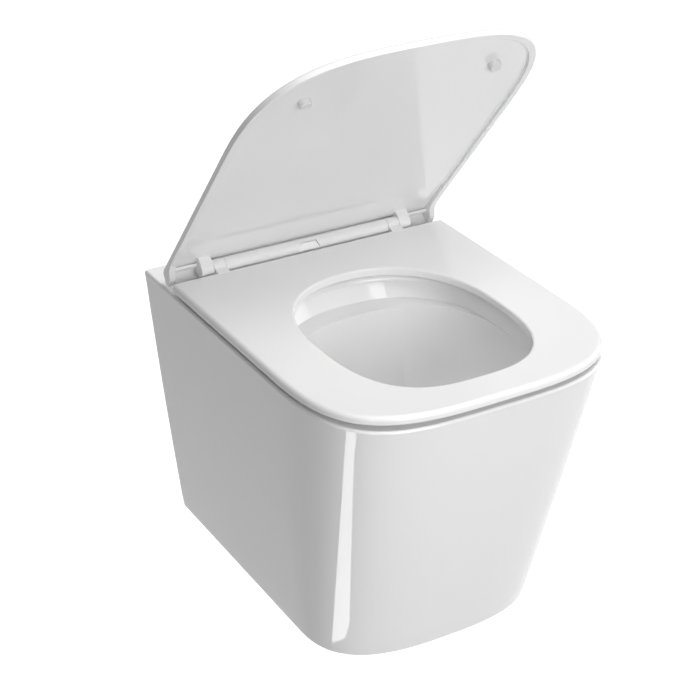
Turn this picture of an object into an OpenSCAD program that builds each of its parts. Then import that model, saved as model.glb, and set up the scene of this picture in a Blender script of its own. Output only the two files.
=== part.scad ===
/* [Pan] */
// Width of the pan at the top
pan_w = 360; // [330:1:400]
// Distance from the wall to the front of the pan
pan_len = 475; // [450:1:560]
// Height of the pan
pan_h = 340; // [310:1:380]
// Width of the pan at its foot
foot_w = 288; // [260:1:330]
// Distance from the wall to the front of the foot
foot_len = 396; // [370:1:450]
// Distance from the wall at which the top outline starts to round
corner_start = 283; // [250:1:300]
// Power of the top outline's corners
corner_power = 3.9; // [2.5:0.1:5]
// Distance from the wall at which the foot's outline starts to round
foot_start = 297; // [260:1:320]
// Power of the foot's corners
foot_power = 2.8; // [2:0.1:4]
// How far the flanks bulge at half height
side_bulge = 1.5; // [0:0.5:6]
// Rounding of the deck's outer edge
deck_round = 3; // [1:0.5:6]
// Rounding of the foot's edge
foot_round = 4; // [1:0.5:8]
// Thickness of the skirt
skirt_t = 12; // [9:0.5:16]
// Thickness of the deck
deck_t = 14; // [10:0.5:18]
// Thickness of the rear plate that lies on the wall
rear_t = 14; // [10:0.5:20]
// Thickness of the floor of the foot
floor_t = 12; // [8:0.5:16]

/* [Bowl] */
// Width of the ceramic rim beside the bowl
rim_side = 56; // [45:1:65]
// Width of the ceramic rim in front of the bowl
rim_front = 37; // [28:1:50]
// Distance from the wall to the bowl's rear edge
bowl_rear = 146; // [135:1:165]
// Rounding of the bowl's upper edge
bowl_round = 6; // [2:0.5:9]
// Depth of the flush shelf under the deck
shelf_drop = 22; // [16:1:40]
// Distance from the wall to the front edge of the flush shelf
shelf_front = 188; // [176:1:198]
// Depth of the sump under the deck
sump_drop = 317; // [300:1:322]
// Distance from the wall to the rear of the sump
sump_rear = 207; // [200:1:215]
// Half width of the sump
sump_half = 38; // [36:1:46]
// Distance from the wall to the front of the sump
sump_front = 280; // [265:1:300]
// Thickness of the bowl's wall
bowl_t = 10; // [7:0.5:12]

/* [Water ways] */
// Height of the flush inlet above the wall fixings
inlet_rise = 35; // [30:1:40]
// Bore of the flush inlet
inlet_d = 55; // [45:1:57]
// Depth of the flush inlet's socket
inlet_len = 45; // [35:1:50]
// Wall round the flush inlet
inlet_wall = 10; // [6:0.5:12]
// Bore of the flush outlet over the shelf's left end
outlet_d = 12; // [8:0.5:14]
// Distance of the waste centre under the wall fixings
waste_fall = 100; // [95:1:115]
// Outer diameter of the waste spigot
spigot_d = 102; // [98:1:106]
// Bore of the waste spigot
waste_bore = 88; // [80:1:92]
// Free length of the waste spigot behind the trap
spigot_len = 56; // [48:1:60]
// Room round the waste spigot for the drain's socket
socket_room = 15; // [10:1:20]
// Bore of the trap
trap_d = 70; // [60:1:74]
// Wall of the trap
trap_wall = 9; // [6:0.5:11]
// Depth of the water line under the deck
water_drop = 195; // [185:1:205]

/* [Wall fixings] */
// Distance between the two wall fixings
stud_distance = 180; // [170:5:230]
// Bore of the fixing sleeves, for M12 studs
stud_bore = 13; // [12.5:0.5:14]
// Hole in the pan for a fixing sleeve
stud_hole = 22; // [20:1:26]
// Flange diameter of a fixing sleeve
sleeve_flange = 30; // [27:1:36]
// Height of the deck above the wall fixings
deck_rise = 80; // [75:1:90]
// Length of the access opening in the floor of the foot
access_len = 112; // [90:1:130]
// Width of the access opening in the floor of the foot
access_w = 200; // [160:5:220]

/* [Hinge] */
// Distance from the wall to the hinge axis
axis_in = 66.5; // [60:0.5:75]
// Height of the hinge axis above the deck
axis_rise = 17; // [16.5:0.5:20]
// Diameter of the fixed hinge bar
bar_d = 18.4; // [17:0.2:19]
// Half length of the fixed hinge bar
bar_half = 109; // [104:1:112]
// Length of a seat knuckle along the axis
knuckle_len = 15.5; // [13:0.5:17]
// Length of a cover ear along the axis
ear_len = 16; // [13:0.5:18]
// Diameter of the damper shafts
shaft_d = 8; // [6:0.5:9]
// Length of a damper's body
damper_len = 41; // [36:1:42]
// Diameter of a damper's body
damper_d = 13.9; // [12:0.1:14.2]
// Running clearance round a shaft
shaft_fit = 0.05; // [0.03:0.01:0.1]
// Gap between parts that turn beside each other
side_gap = 0.3; // [0.2:0.05:0.5]

/* [Hinge seat] */
// Distance between the two hinge bolts
bolt_distance = 155; // [145:1:165]
// Diameter of the hinge bolts
bolt_d = 6; // [5:0.5:8]
// Hole in the deck for an expansion bush
bush_hole = 14; // [13:0.5:16]
// Diameter of the lower discs
disc_d = 32; // [30:1:36]
// Thickness of the lower discs
disc_t = 2.4; // [2:0.1:2.6]
// Thickness of the steel hinge plate
plate_t = 2.4; // [2:0.1:2.6]
// Depth of the steel hinge plate
plate_depth = 24; // [23:0.5:28]
// Side travel of the discs each way
side_travel = 2; // [1:0.5:2.5]
// Depth travel of the hinge plate each way
depth_travel = 4; // [2:0.5:4.5]

/* [Release] */
// Distance from a mushroom post to the end of the latch cavity
post_room = 15.5; // [14:0.5:17]
// Diameter of a post's foot and head
post_d = 6; // [5:0.2:6.4]
// Diameter of a post's neck
neck_d = 4; // [3:0.2:4.4]
// Travel of the release button
press_travel = 3.5; // [2.5:0.1:3.6]
// Width of the button along its lower edge
button_w = 28.4; // [24:0.2:32]
// Width of the button along its upper edge
button_top_w = 19.2; // [16:0.2:24]
// Height of a latch
latch_h = 4.8; // [4:0.1:5]
// Depth of a latch
latch_depth = 8.8; // [8.2:0.1:9]
// Play round the sliding parts of the release
slide_fit = 0.2; // [0.1:0.05:0.3]

/* [Seat] */
// How far the seat stands out over the pan's edge
seat_over = 2; // [0.5:0.5:3]
// Height of the gap under the seat
seat_gap = 6.5; // [5:0.5:7.5]
// Thickness of the seat
seat_t = 10; // [9:0.5:14]
// Distance from the hinge axis to the seat's rear edge
seat_back = 12.6; // [12:0.1:18]
// Half width of the seat's opening
hole_half = 113; // [100:0.5:120]
// Distance from the wall to the rear of the seat's opening
hole_rear = 155.3; // [150:0.1:170]
// Width of the seat in front of its opening
seat_nose = 42.8; // [40:0.1:60]
// Share of the opening's length that lies behind its widest line
hole_wide = 0.483; // [0.3:0.001:0.6]
// Power of the opening's rear half
hole_power_r = 2.17; // [1.7:0.01:3]
// Power of the opening's front half
hole_power_f = 2.87; // [2:0.01:4]
// Power of the seat's corners
seat_power = 3.4; // [2.5:0.1:5]
// Distance from the wall at which the seat starts to round
seat_start = 304; // [270:1:330]

/* [Cover] */
// How far the cover's sides lie inside the seat's sides
cover_in = 3; // [1:0.5:5]
// How far the cover's front lies inside the seat's front
cover_nose_in = 2; // [1:0.5:5]
// Power of the cover's corners
cover_power = 3.2; // [2.5:0.1:5]
// Distance from the wall at which the cover starts to round
cover_start = 298; // [270:1:330]
// Height of the cover's top above the hinge axis
cover_top = 15.6; // [14.5:0.1:18]
// Height of the cover's rim above the hinge axis
rim_rise = 6.5; // [5.5:0.5:8]
// Thickness of the cover's plate
cover_t = 5; // [3.5:0.5:5.5]
// Thickness of the cover's side walls
cover_wall = 7.5; // [5:0.5:9]
// Extra depth of the band that clears the hinge bar
band_deep = 1; // [0.5:0.5:1.5]
// Distance from the hinge axis to the end of that band
band_len = 60; // [50:1:80]
// Opening angle of the cover at rest
cover_open = 50.6; // [0:0.1:90]

/* [Buffers] */
// Diameter of the seat's buffers
seat_pad_d = 18; // [12:1:22]
// Distance of the rear seat buffers from the pan's side
pad_side_rear = 30; // [25:1:40]
// Distance of the rear seat buffers from the seat's rear edge
pad_rear = 60; // [50:1:90]
// Distance of the front seat buffers from the pan's side
pad_side_front = 72; // [60:1:90]
// Distance of the front seat buffers from the pan's front
pad_front = 42; // [30:1:50]
// Diameter of the cover's buffers
cover_pad_d = 14; // [10:1:18]
// Distance of the cover's buffers from the middle
cover_pad_x = 114.5; // [105:0.5:125]
// Distance of the cover's buffers from the hinge axis
cover_pad_s = 338; // [320:1:350]
// Angle past level at which the closed cover rests
close_past = 0.5; // [0:0.1:0.8]

/* [Hidden] */
$fn = 48;
ceramic = [0.93, 0.93, 0.92];
plastic = [0.95, 0.95, 0.94];
steel = [0.7, 0.71, 0.73];
rubber = [0.82, 0.82, 0.8];
dark = [0.3, 0.3, 0.32];
cut = 1;
steps = 12;
sump_steps = 7;
deck_z = deck_rise;
foot_z = deck_z - pan_h;
axis_y = -axis_in;
axis_z = deck_z + axis_rise;
bar_r = bar_d / 2;
bushing_len = 5;
cavity_web = 3.5;
damper_out = bar_half - bushing_len;
damper_in = damper_out - damper_len;
cavity_x = damper_in - cavity_web;
post_x = cavity_x - post_room;
bolt_x = bolt_distance / 2;
waste_z = -waste_fall;
disc_top = deck_z + disc_t;
plate_top = disc_top + plate_t;
knuckle_in = bar_half + side_gap;
knuckle_out = bar_half + knuckle_len;
ear_in = knuckle_out + side_gap;
ear_out = knuckle_out + ear_len;
ear_skin = 1.5;
seat_w = pan_w + 2 * seat_over;
seat_front = pan_len + seat_over;
seat_rear = axis_in + seat_back;
seat_low = deck_z + seat_gap;
seat_top = seat_low + seat_t;
cover_w = seat_w - 2 * cover_in;
cover_front = seat_front - cover_nose_in;

// A quarter outline, from the side to the middle of the front
function quarter(w, front, start, power, grow) = [for (i = [0:steps])
  let (a = 90 * i / steps)
  [(w / 2 + grow) * pow(cos(a), 2 / power),
   -start - (front + grow - start) * pow(sin(a), 2 / power)]];

// A closed outline with straight flanks and a rounded front
function outline(w, front, rear, start, power, grow = 0) =
  let (q = quarter(w, front, start, power, grow))
  concat([[-w / 2 - grow, -rear]],
    [for (i = [0:steps]) [-q[i][0], q[i][1]]],
    [for (i = [steps - 1:-1:0]) q[i]],
    [[w / 2 + grow, -rear]]);

// An egg shape: one power behind its widest line and another before it
function egg(half, rear, front, wide, power_r, power_f, grow = 0) =
  [for (i = [0:4 * steps - 1])
    let (a = 90 + 90 * i / steps, s = sin(a), c = cos(a))
    let (p = s > 0 ? power_r : power_f, reach = s > 0 ? wide - rear : front - wide)
    [(half + grow) * sign(c) * pow(abs(c), 2 / p),
     -wide + (reach + grow) * sign(s) * pow(abs(s), 2 / p)]];

// A ring of an outline at one height
function level(z, pts) = [for (p = pts) [p[0], p[1], z]];

// A closed solid through rings of equal count
module loft(rings) {
  n = len(rings[0]);
  m = len(rings);
  sides = [for (k = [0:m - 2]) for (j = [0:n - 1])
    let (a = k * n + j, b = k * n + (j + 1) % n)
    each [[a, a + n, b + n], [a, b + n, b]]];
  polyhedron([for (r = rings) each r], concat([[for (j = [0:n - 1]) j]],
    sides, [[for (j = [n - 1:-1:0]) (m - 1) * n + j]]));
}

module along_x(x0, x1, r) {
  translate([x0, 0, 0]) rotate([0, 90, 0]) cylinder(r = r, h = x1 - x0);
}

module along_y(y0, y1, r) {
  translate([0, y0, 0]) rotate([-90, 0, 0]) cylinder(r = r, h = y1 - y0);
}

module both() {
  children();
  mirror([1, 0, 0]) children();
}

// Extrudes a profile drawn as [forward of the axis, above the axis]
module side_profile(x0, x1, pts) {
  translate([x0, 0, 0]) rotate([90, 0, 90]) linear_extrude(x1 - x0)
    polygon([for (p = pts) [-p[0], p[1]]]);
}

// Outline of the pan at a share of its height, 0 at the deck and 1 at the foot
function pan_ring(t, grow = 0, rear = 0) = outline(
  pan_w + (foot_w - pan_w) * t + 8 * side_bulge * t * (1 - t),
  pan_len + (foot_len - pan_len) * t + 4 * side_bulge * t * (1 - t),
  rear,
  corner_start + (foot_start - corner_start) * t,
  corner_power + (foot_power - corner_power) * t,
  grow);

module pan_body() {
  low = [[0, 1], [0.3, 0.3], [1, 0]];
  high = [[1, 0], [0.3, 0.3], [0, 1]];
  loft(concat(
    [for (e = low) level(foot_z + foot_round * e[0], pan_ring(1, -foot_round * e[1]))],
    [for (i = [5:-1:1]) level(deck_z - pan_h * i / 6, pan_ring(i / 6))],
    [for (e = high) level(deck_z - deck_round * e[0], pan_ring(0, -deck_round * e[1]))]));
}

module pan_hollow() {
  z0 = foot_z + floor_t;
  z1 = deck_z - deck_t;
  loft([for (i = [3:-1:0]) let (z = z1 - (z1 - z0) * i / 3)
    level(z, pan_ring((deck_z - z) / pan_h, -skirt_t, rear_t))]);
}

// Share by which the bowl has narrowed at a share of its depth below the shelf
function taper(t) = (1 + cos(180 * pow(t, 0.8))) / 2;

bowl_wide = 0.48;
bowl_power_r = 2.4;
bowl_power_f = 2.5;
mouth_in = 2;
mouth_back = 14;
ledge = 1;

function bowl_ring(half, rear, front, grow) = egg(half, rear, front,
  rear + (front - rear) * bowl_wide, bowl_power_r, bowl_power_f, grow);

function sump_ring(t, grow) = bowl_ring(
  sump_half + (pan_w / 2 - rim_side - mouth_in - ledge - sump_half) * taper(t),
  sump_rear + (shelf_front - sump_rear) * taper(t),
  sump_front + (pan_len - rim_front - mouth_in - ledge - sump_front) * taper(t), grow);

module sump_part(grow, drop0, drop1) {
  loft([for (i = [sump_steps:-1:0]) let (t = i / sump_steps)
    level(deck_z - drop0 - (drop1 - drop0) * t, sump_ring(t, grow))]);
}

module bowl_mouth(grow, top) {
  half = pan_w / 2 - rim_side;
  front = pan_len - rim_front;
  r = bowl_round;
  loft(concat(
    [level(deck_z - shelf_drop - grow,
      bowl_ring(half - mouth_in, bowl_rear + mouth_back, front - mouth_in, grow))],
    [level(deck_z - r, bowl_ring(half, bowl_rear, front, grow))],
    top ? [level(deck_z - 0.3 * r, bowl_ring(half, bowl_rear, front, 0.3 * r)),
      level(deck_z, bowl_ring(half, bowl_rear, front, r)),
      level(deck_z + cut, bowl_ring(half, bowl_rear, front, r + cut))]
    : [level(deck_z - cut, bowl_ring(half, bowl_rear, front, grow))]));
}

// The water's way from the sump over the weir to the waste, as [y, z] points
crest_z = deck_z - water_drop + trap_d / 2;
entry_z = deck_z - sump_drop + trap_d / 2;
bend_r = trap_d / 2 + trap_wall + 1;
bend_in = 22;
bend_y = bend_in - sump_rear;
limb_angle = 75;
spigot_in = -spigot_len - 8;
trap_end = -spigot_len - 5;
limb_len = (crest_z - entry_z - 2 * bend_r * (1 - cos(limb_angle))) / sin(limb_angle);
crest_y = bend_y + 2 * bend_r * sin(limb_angle) + limb_len * cos(limb_angle);
trap_way = concat([[-sump_rear - 6, entry_z]],
  [for (i = [0:5]) let (a = limb_angle * i / 5)
    [bend_y + bend_r * sin(a), entry_z + bend_r * (1 - cos(a))]],
  [for (i = [5:-1:0]) let (a = limb_angle * i / 5)
    [crest_y - bend_r * sin(a), crest_z - bend_r * (1 - cos(a))]],
  [[trap_end - 8, crest_z - 1], [trap_end, crest_z - 1]]);

module trap(r, r_out, y_in, y_out) {
  n = len(trap_way);
  loft([for (i = [0:n - 1])
    let (p = trap_way[i], q = trap_way[min(i + 1, n - 1)] - trap_way[max(i - 1, 0)], d = q / norm(q))
    [for (k = [0:23]) [r * cos(15 * k), p[0] + r * sin(15 * k) * d[1], p[1] - r * sin(15 * k) * d[0]]]]);
  translate([0, 0, waste_z]) along_y(y_in, y_out, r_out);
}

// The chamber leads the flush water from the inlet to the outlet at its left end
chamber_x = 100;
chamber_h = 42;
chamber_d = 36;
chamber_wall = 8;
chamber_y = 14 - bowl_rear;
chamber_z = deck_z - deck_t - 4 - chamber_h;
outlet_x = chamber_x - outlet_d / 2 - 2;
outlet_z = deck_z - shelf_drop + outlet_d / 2 + 1;
outlet_len = 70;
feed_d = inlet_d - 14;
boss_x = inlet_d / 2 + inlet_wall;
under_deck = deck_z - deck_t;

// The inlet's boss, square where it goes through the rear plate
module inlet_boss() translate([-boss_x, chamber_y, inlet_rise - boss_x])
  cube([2 * boss_x, -chamber_y, under_deck - inlet_rise + boss_x]);

// The outer casting: skirt, deck, floor and rear plate
module pan() color(ceramic) difference() {
  pan_body();
  pan_hollow();
  bowl_mouth(0, true);
  inlet_boss();
  translate([-boss_x, -rear_t, inlet_rise]) cube([2 * boss_x, rear_t + cut, under_deck - inlet_rise]);
  translate([0, 0, waste_z]) along_y(-rear_t - cut, cut, spigot_d / 2 + socket_room);
  translate([-access_w / 2, -rear_t - access_len, foot_z - cut])
    cube([access_w, access_len, floor_t + 2 * cut]);
  both() translate([stud_distance / 2, 0, 0]) along_y(-rear_t - cut, cut, stud_hole / 2);
  both() translate([bolt_x, axis_y, under_deck - cut]) cylinder(r = bush_hole / 2, h = deck_t + 2 * cut);
}

// The inner casting, stuck under the deck: bowl, flush chamber, trap and spigot
module bowl() color(ceramic) difference() {
  union() {
    sump_part(bowl_t, shelf_drop - bowl_t, sump_drop + 6);
    bowl_mouth(bowl_t, false);
    trap(trap_d / 2 + trap_wall, spigot_d / 2, spigot_in - trap_wall, 0);
    translate([0, 0, waste_z]) along_y(spigot_in, -spigot_len, spigot_d / 2 + trap_wall);
    inlet_boss();
    translate([-chamber_x - chamber_wall, -bowl_rear - bowl_t, chamber_z - chamber_wall])
      cube([2 * (chamber_x + chamber_wall), bowl_rear + bowl_t + chamber_y + chamber_d + chamber_wall,
        chamber_h + 2 * chamber_wall]);
  }
  translate([-pan_w, -pan_len, under_deck]) cube([2 * pan_w, pan_len + cut, deck_t + cut]);
  sump_part(0, shelf_drop, sump_drop);
  bowl_mouth(0, true);
  trap(trap_d / 2, waste_bore / 2, spigot_in, cut);
  translate([0, 0, inlet_rise]) along_y(-inlet_len, cut, inlet_d / 2);
  translate([0, 0, inlet_rise]) along_y(chamber_y, cut - inlet_len, feed_d / 2);
  translate([-chamber_x, chamber_y, chamber_z]) cube([2 * chamber_x, chamber_d, chamber_h]);
  translate([-outlet_x, 0, outlet_z]) along_y(chamber_y - outlet_len, chamber_y + cut, outlet_d / 2);
}

sleeve_fit = 0.3;
flange_t = 3;

module stud_sleeves() color(plastic) both() translate([stud_distance / 2, 0, 0])
  difference() {
    union() {
      along_y(-rear_t, 0, stud_hole / 2 - sleeve_fit);
      along_y(-rear_t - flange_t, -rear_t, sleeve_flange / 2);
    }
    along_y(-rear_t - flange_t - cut, cut, stud_bore / 2);
  }

bush_under = 10;
bush_len = deck_t + bush_under;
bush_fit = 0.2;
bush_flare = 1.6;
bolt_fit = 0.1;
bolt_over = 3;
nut_r = bolt_d * 0.92;
nut_h = 5;
washer_t = 1;
head_r = bolt_d * 0.95;
head_h = 1.5;
socket_r = bolt_d * 0.42;
socket_deep = 0.9;

module expansion_bushes() color(rubber) both() translate([bolt_x, axis_y, deck_z])
  difference() {
    union() {
      translate([0, 0, -bush_len]) cylinder(r = bush_hole / 2 - bush_fit, h = bush_len);
      translate([0, 0, -bush_len]) cylinder(r = bush_hole / 2 + bush_flare, h = bush_under);
    }
    translate([0, 0, -bush_len - cut]) cylinder(r = bolt_d / 2 + bush_fit, h = bush_len + 2 * cut);
  }

module bush_nuts() color(steel) both()
  translate([bolt_x, axis_y, deck_z - bush_len - nut_h]) difference() {
    cylinder(r = nut_r, h = nut_h, $fn = 6);
    translate([0, 0, -cut]) cylinder(r = bolt_d / 2 + bolt_fit, h = nut_h + 2 * cut);
  }

module hinge_bolts() color(steel) both() translate([bolt_x, axis_y, plate_top]) {
  shank = plate_top - deck_z + bush_len + nut_h + bolt_over;
  difference() {
    translate([0, 0, washer_t]) cylinder(r = head_r, h = head_h);
    translate([0, 0, washer_t + head_h - socket_deep]) cylinder(r = socket_r, h = cut, $fn = 6);
  }
  translate([0, 0, -shank]) cylinder(r = bolt_d / 2, h = shank + washer_t + head_h - 1);
}

slot_half = bolt_d / 2 + 0.3;
key_wall = 2;
key_fit = 0.1;
key_x = slot_half + side_travel + key_wall;
key_y = slot_half + key_wall;
window_x = key_x + key_fit;
window_y = key_y + depth_travel + key_fit;
washer_over = 1.6;

module bolt_washers() color(steel) both() translate([bolt_x, axis_y, plate_top])
  difference() {
    cylinder(r = max(window_x + side_travel, window_y) + washer_over, h = washer_t);
    translate([0, 0, -cut]) cylinder(r = bolt_d / 2 + bolt_fit, h = washer_t + 2 * cut);
  }

module slot_x(half, travel, h) {
  translate([-travel, 0, 0]) cylinder(r = half, h = h);
  translate([travel, 0, 0]) cylinder(r = half, h = h);
  translate([-travel, -half, 0]) cube([2 * travel, 2 * half, h]);
}

module base_discs() color(plastic) both() translate([bolt_x, axis_y, deck_z])
  difference() {
    union() {
      cylinder(r = disc_d / 2, h = disc_t);
      translate([-key_x, -key_y, 0]) cube([2 * key_x, 2 * key_y, disc_t + plate_t - key_fit]);
    }
    translate([0, 0, -cut]) slot_x(slot_half, side_travel, disc_t + plate_t + 2 * cut);
  }

latch_fit = 0.2;
neck_low = -latch_h / 2 - latch_fit;
neck_high = latch_h / 2 + latch_fit;
head_t = 1.8;
head_chamfer = 0.8;
plate_over = 2;

module hinge_plate() color(steel) translate([0, axis_y, 0]) {
  half = bolt_x + disc_d / 2 + plate_over;
  difference() {
    union() {
      translate([-half + plate_depth / 2, -plate_depth / 2, disc_top])
        cube([2 * half - plate_depth, plate_depth, plate_t]);
      both() translate([half - plate_depth / 2, 0, disc_top])
        cylinder(r = plate_depth / 2, h = plate_t);
    }
    both() translate([bolt_x - window_x, -window_y, disc_top - cut])
      cube([2 * window_x, 2 * window_y, plate_t + 2 * cut]);
  }
  both() translate([post_x, 0, 0]) {
    translate([0, 0, plate_top]) cylinder(r = post_d / 2, h = axis_z + neck_low - plate_top);
    translate([0, 0, axis_z + neck_low]) cylinder(r = neck_d / 2, h = neck_high - neck_low);
    translate([0, 0, axis_z + neck_high]) cylinder(r = post_d / 2, h = head_t - head_chamfer);
    translate([0, 0, axis_z + neck_high + head_t - head_chamfer])
      cylinder(r1 = post_d / 2, r2 = post_d / 2 - head_chamfer, h = head_chamfer);
  }
}

cavity_y = latch_depth / 2 + latch_fit;
latch_room = 0.5;
cavity_low = -latch_h / 2 - latch_room;
cavity_high = neck_high + head_t + 0.3;
damper_r = damper_d / 2;
bore_fit = 0.08;
bore_r = damper_r + bore_fit;
keeper_low = -8;
wedge_room = 6;
wedge_out = -6.4;
wedge_in = 5.8;
button_low = -1.5;
button_high = 6.8;
button_back = -5;
wedge_tip = 1;

module button_plate(grow, y0, y1) {
  translate([0, y1, 0]) rotate([90, 0, 0]) linear_extrude(y1 - y0)
    polygon([[-button_w / 2 - grow, button_low - grow], [button_w / 2 + grow, button_low - grow],
      [button_top_w / 2 + grow, button_high + grow], [-button_top_w / 2 - grow, button_high + grow]]);
}

module hinge_bar() color(plastic) translate([0, axis_y, axis_z]) difference() {
  along_x(-bar_half, bar_half, bar_r);
  translate([-cavity_x, -cavity_y, cavity_low])
    cube([2 * cavity_x, 2 * cavity_y, cavity_high - cavity_low]);
  translate([-cavity_x, -cavity_y, -bar_r - cut])
    cube([2 * cavity_x, 2 * cavity_y, bar_r + cut + cavity_low + 0.01]);
  translate([-cavity_y - wedge_room, wedge_out, cavity_low])
    cube([2 * (cavity_y + wedge_room), wedge_in - wedge_out, latch_h + 2 * latch_room]);
  button_plate(slide_fit, -bar_r - cut, button_back + press_travel + 0.3);
  both() along_x(damper_in - 0.3, bar_half + cut, bore_r);
}

module latch_keeper() color(plastic) translate([0, axis_y, axis_z]) difference() {
  translate([-cavity_x + latch_fit, -cavity_y + latch_fit, keeper_low])
    cube([2 * (cavity_x - latch_fit), 2 * (cavity_y - latch_fit), cavity_low - keeper_low]);
  both() translate([post_x, 0, keeper_low - cut])
    cylinder(r = post_d / 2 + key_fit, h = cavity_low - keeper_low + 2 * cut);
}

module end_bushings() color(dark) translate([0, axis_y, axis_z]) both() difference() {
  along_x(damper_out, bar_half, bore_r - 0.03);
  along_x(damper_out - cut, bar_half + cut, shaft_d / 2 + shaft_fit);
}

damper_head = 12;

module damper() difference() {
  along_x(damper_in, damper_out, damper_r);
  along_x(damper_in + damper_head, damper_out + cut, shaft_d / 2 + shaft_fit);
}

module seat_damper() color(dark) translate([0, axis_y, axis_z]) mirror([1, 0, 0]) damper();

module cover_damper() color(dark) translate([0, axis_y, axis_z]) damper();

shaft_in = damper_in + damper_head + 0.3;
shaft_out = ear_out - ear_skin - 0.4;
flat_half = shaft_d * 0.36;

// A damper shaft whose key has two flats, from x0 to x1
module shaft(x0, x1) difference() {
  along_x(shaft_in, shaft_out, shaft_d / 2);
  for (s = [-1, 1]) translate([x0, s * (flat_half + shaft_d / 2) - shaft_d / 2, -shaft_d])
    cube([x1 - x0, shaft_d, 2 * shaft_d]);
}

module keyed_bore(x0, x1) intersection() {
  along_x(x0, x1, shaft_d / 2 + bore_fit);
  translate([x0, -flat_half - bore_fit, -shaft_d])
    cube([x1 - x0, 2 * (flat_half + bore_fit), 2 * shaft_d]);
}

module seat_shaft() color(steel) translate([0, axis_y, axis_z]) mirror([1, 0, 0])
  shaft(knuckle_in - 0.1, knuckle_out + 0.1);

module cover_shaft() color(steel) translate([0, axis_y, axis_z])
  rotate([-cover_open, 0, 0]) shaft(ear_in - 0.1, shaft_out + cut);

button_proud = 0.25;
wedge_half = 4;

module release_button() color("white") translate([0, axis_y, axis_z]) {
  intersection() {
    button_plate(0, -bar_r - cut, button_back);
    along_x(-button_w, button_w, bar_r + button_proud);
  }
  wide = wedge_half + wedge_tip - button_back;
  translate([0, 0, -latch_h / 2]) linear_extrude(latch_h)
    polygon([[-wide, button_back - 0.01], [wide, button_back - 0.01],
      [wedge_half, wedge_tip], [-wedge_half, wedge_tip]]);
}

latch_over = 6.5;
latch_in = wedge_half + 0.1;
latch_step = button_w / 2 + 1.5;

// A latch: a keyhole holds the post's neck and passes its head when it has moved
module latch() translate([0, axis_y, axis_z]) difference() {
  end = post_x + latch_over;
  nose = button_back + press_travel + 0.5;
  neck_r = neck_d / 2 + 0.1;
  translate([0, 0, -latch_h / 2]) linear_extrude(latch_h)
    polygon([[latch_in + wedge_tip - nose, nose], [latch_in, wedge_tip], [latch_in, latch_depth / 2],
      [end, latch_depth / 2], [end, -latch_depth / 2],
      [latch_step, -latch_depth / 2], [latch_step, nose]]);
  translate([post_x - press_travel, 0, -latch_h]) cylinder(r = post_d / 2 + 0.3, h = 2 * latch_h);
  translate([post_x, 0, -latch_h]) cylinder(r = neck_r, h = 2 * latch_h);
  translate([post_x - press_travel, -neck_r, -latch_h])
    cube([press_travel, 2 * neck_r, 2 * latch_h]);
}

module latch_right() color(steel) latch();

module latch_left() color(steel) mirror([1, 0, 0]) latch();

spring_r = 1.8;
wire_r = 0.3;
spring_turns = 5;
spring_fit = 0.05;
spring_from = post_x + latch_over + wire_r + spring_fit;
spring_to = cavity_x - wire_r - spring_fit;

// A helical spring along X: rings of six points round a helix
module spring() translate([0, axis_y, axis_z]) {
  count = spring_turns * 12;
  points = [for (i = [0:count]) let (a = 30 * i, x = spring_from + (spring_to - spring_from) * i / count)
    for (k = [0:5]) let (r = spring_r + wire_r * cos(60 * k))
      [x + wire_r * sin(60 * k), r * cos(a), r * sin(a)]];
  sides = [for (i = [0:count - 1]) for (k = [0:5])
    let (a = 6 * i + k, b = 6 * i + (k + 1) % 6)
    each [[a, b, b + 6], [a, b + 6, a + 6]]];
  polyhedron(points, concat([[for (k = [5:-1:0]) k]], sides,
    [[for (k = [0:5]) 6 * count + k]]));
}

module spring_right() color(steel) spring();

module spring_left() color(steel) mirror([1, 0, 0]) spring();

function seat_ring(grow) = outline(seat_w, seat_front, seat_rear, seat_start, seat_power, grow);

hole_front = seat_front - seat_nose;

function hole_ring(grow) = egg(hole_half, hole_rear, hole_front,
  hole_rear + (hole_front - hole_rear) * hole_wide, hole_power_r, hole_power_f, grow);

module seat_pads() {
  for (p = [[pan_w / 2 - pad_side_rear, seat_rear + pad_rear],
    [pan_w / 2 - pad_side_front, pan_len - pad_front]])
    both() translate([p[0], -p[1], deck_z]) children();
}

web_in = seat_back + 8;

module knuckle() {
  along_x(knuckle_in, knuckle_out, bar_r);
  side_profile(knuckle_in, knuckle_out, [[0, -bar_r + 0.1], [web_in, seat_low + 0.6 - axis_z],
    [web_in, seat_top - axis_z - 0.4], [bar_r * 0.94, 2.5], [0, 6]]);
}

plug_d = 6;
plug_len = 4.8;
plug_fit = 0.1;

module seat() color(plastic) difference() {
  union() {
    difference() {
      loft([for (e = [[0, -2], [2, 0], [seat_t - 3, 0], [seat_t - 0.9, -0.9], [seat_t, -3]])
        level(seat_low + e[0], seat_ring(e[1]))]);
      loft([for (e = [[-cut, 2.5], [1.5, 0], [seat_t - 5, 0], [seat_t - 1.5, 1.5], [seat_t, 5],
          [seat_t + cut, 6]])
        level(seat_low + e[0], hole_ring(e[1]))]);
    }
    translate([0, axis_y, axis_z]) both() knuckle();
  }
  translate([0, axis_y, axis_z]) along_x(knuckle_in - cut, knuckle_out + cut, shaft_d / 2 + shaft_fit);
  translate([0, axis_y, axis_z]) mirror([1, 0, 0])
    keyed_bore(knuckle_in - cut, knuckle_out + cut);
  seat_pads() translate([0, 0, seat_gap - cut])
    cylinder(r = plug_d / 2 + plug_fit, h = plug_len + 2 * plug_fit + cut);
}

pad_chamfer = 1;

module seat_buffers() color(rubber) seat_pads() {
  translate([0, 0, pad_chamfer]) cylinder(r = seat_pad_d / 2, h = seat_gap - pad_chamfer);
  cylinder(r1 = seat_pad_d / 2 - pad_chamfer, r2 = seat_pad_d / 2, h = pad_chamfer);
  translate([0, 0, seat_gap]) cylinder(r = plug_d / 2, h = plug_len);
}

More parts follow.
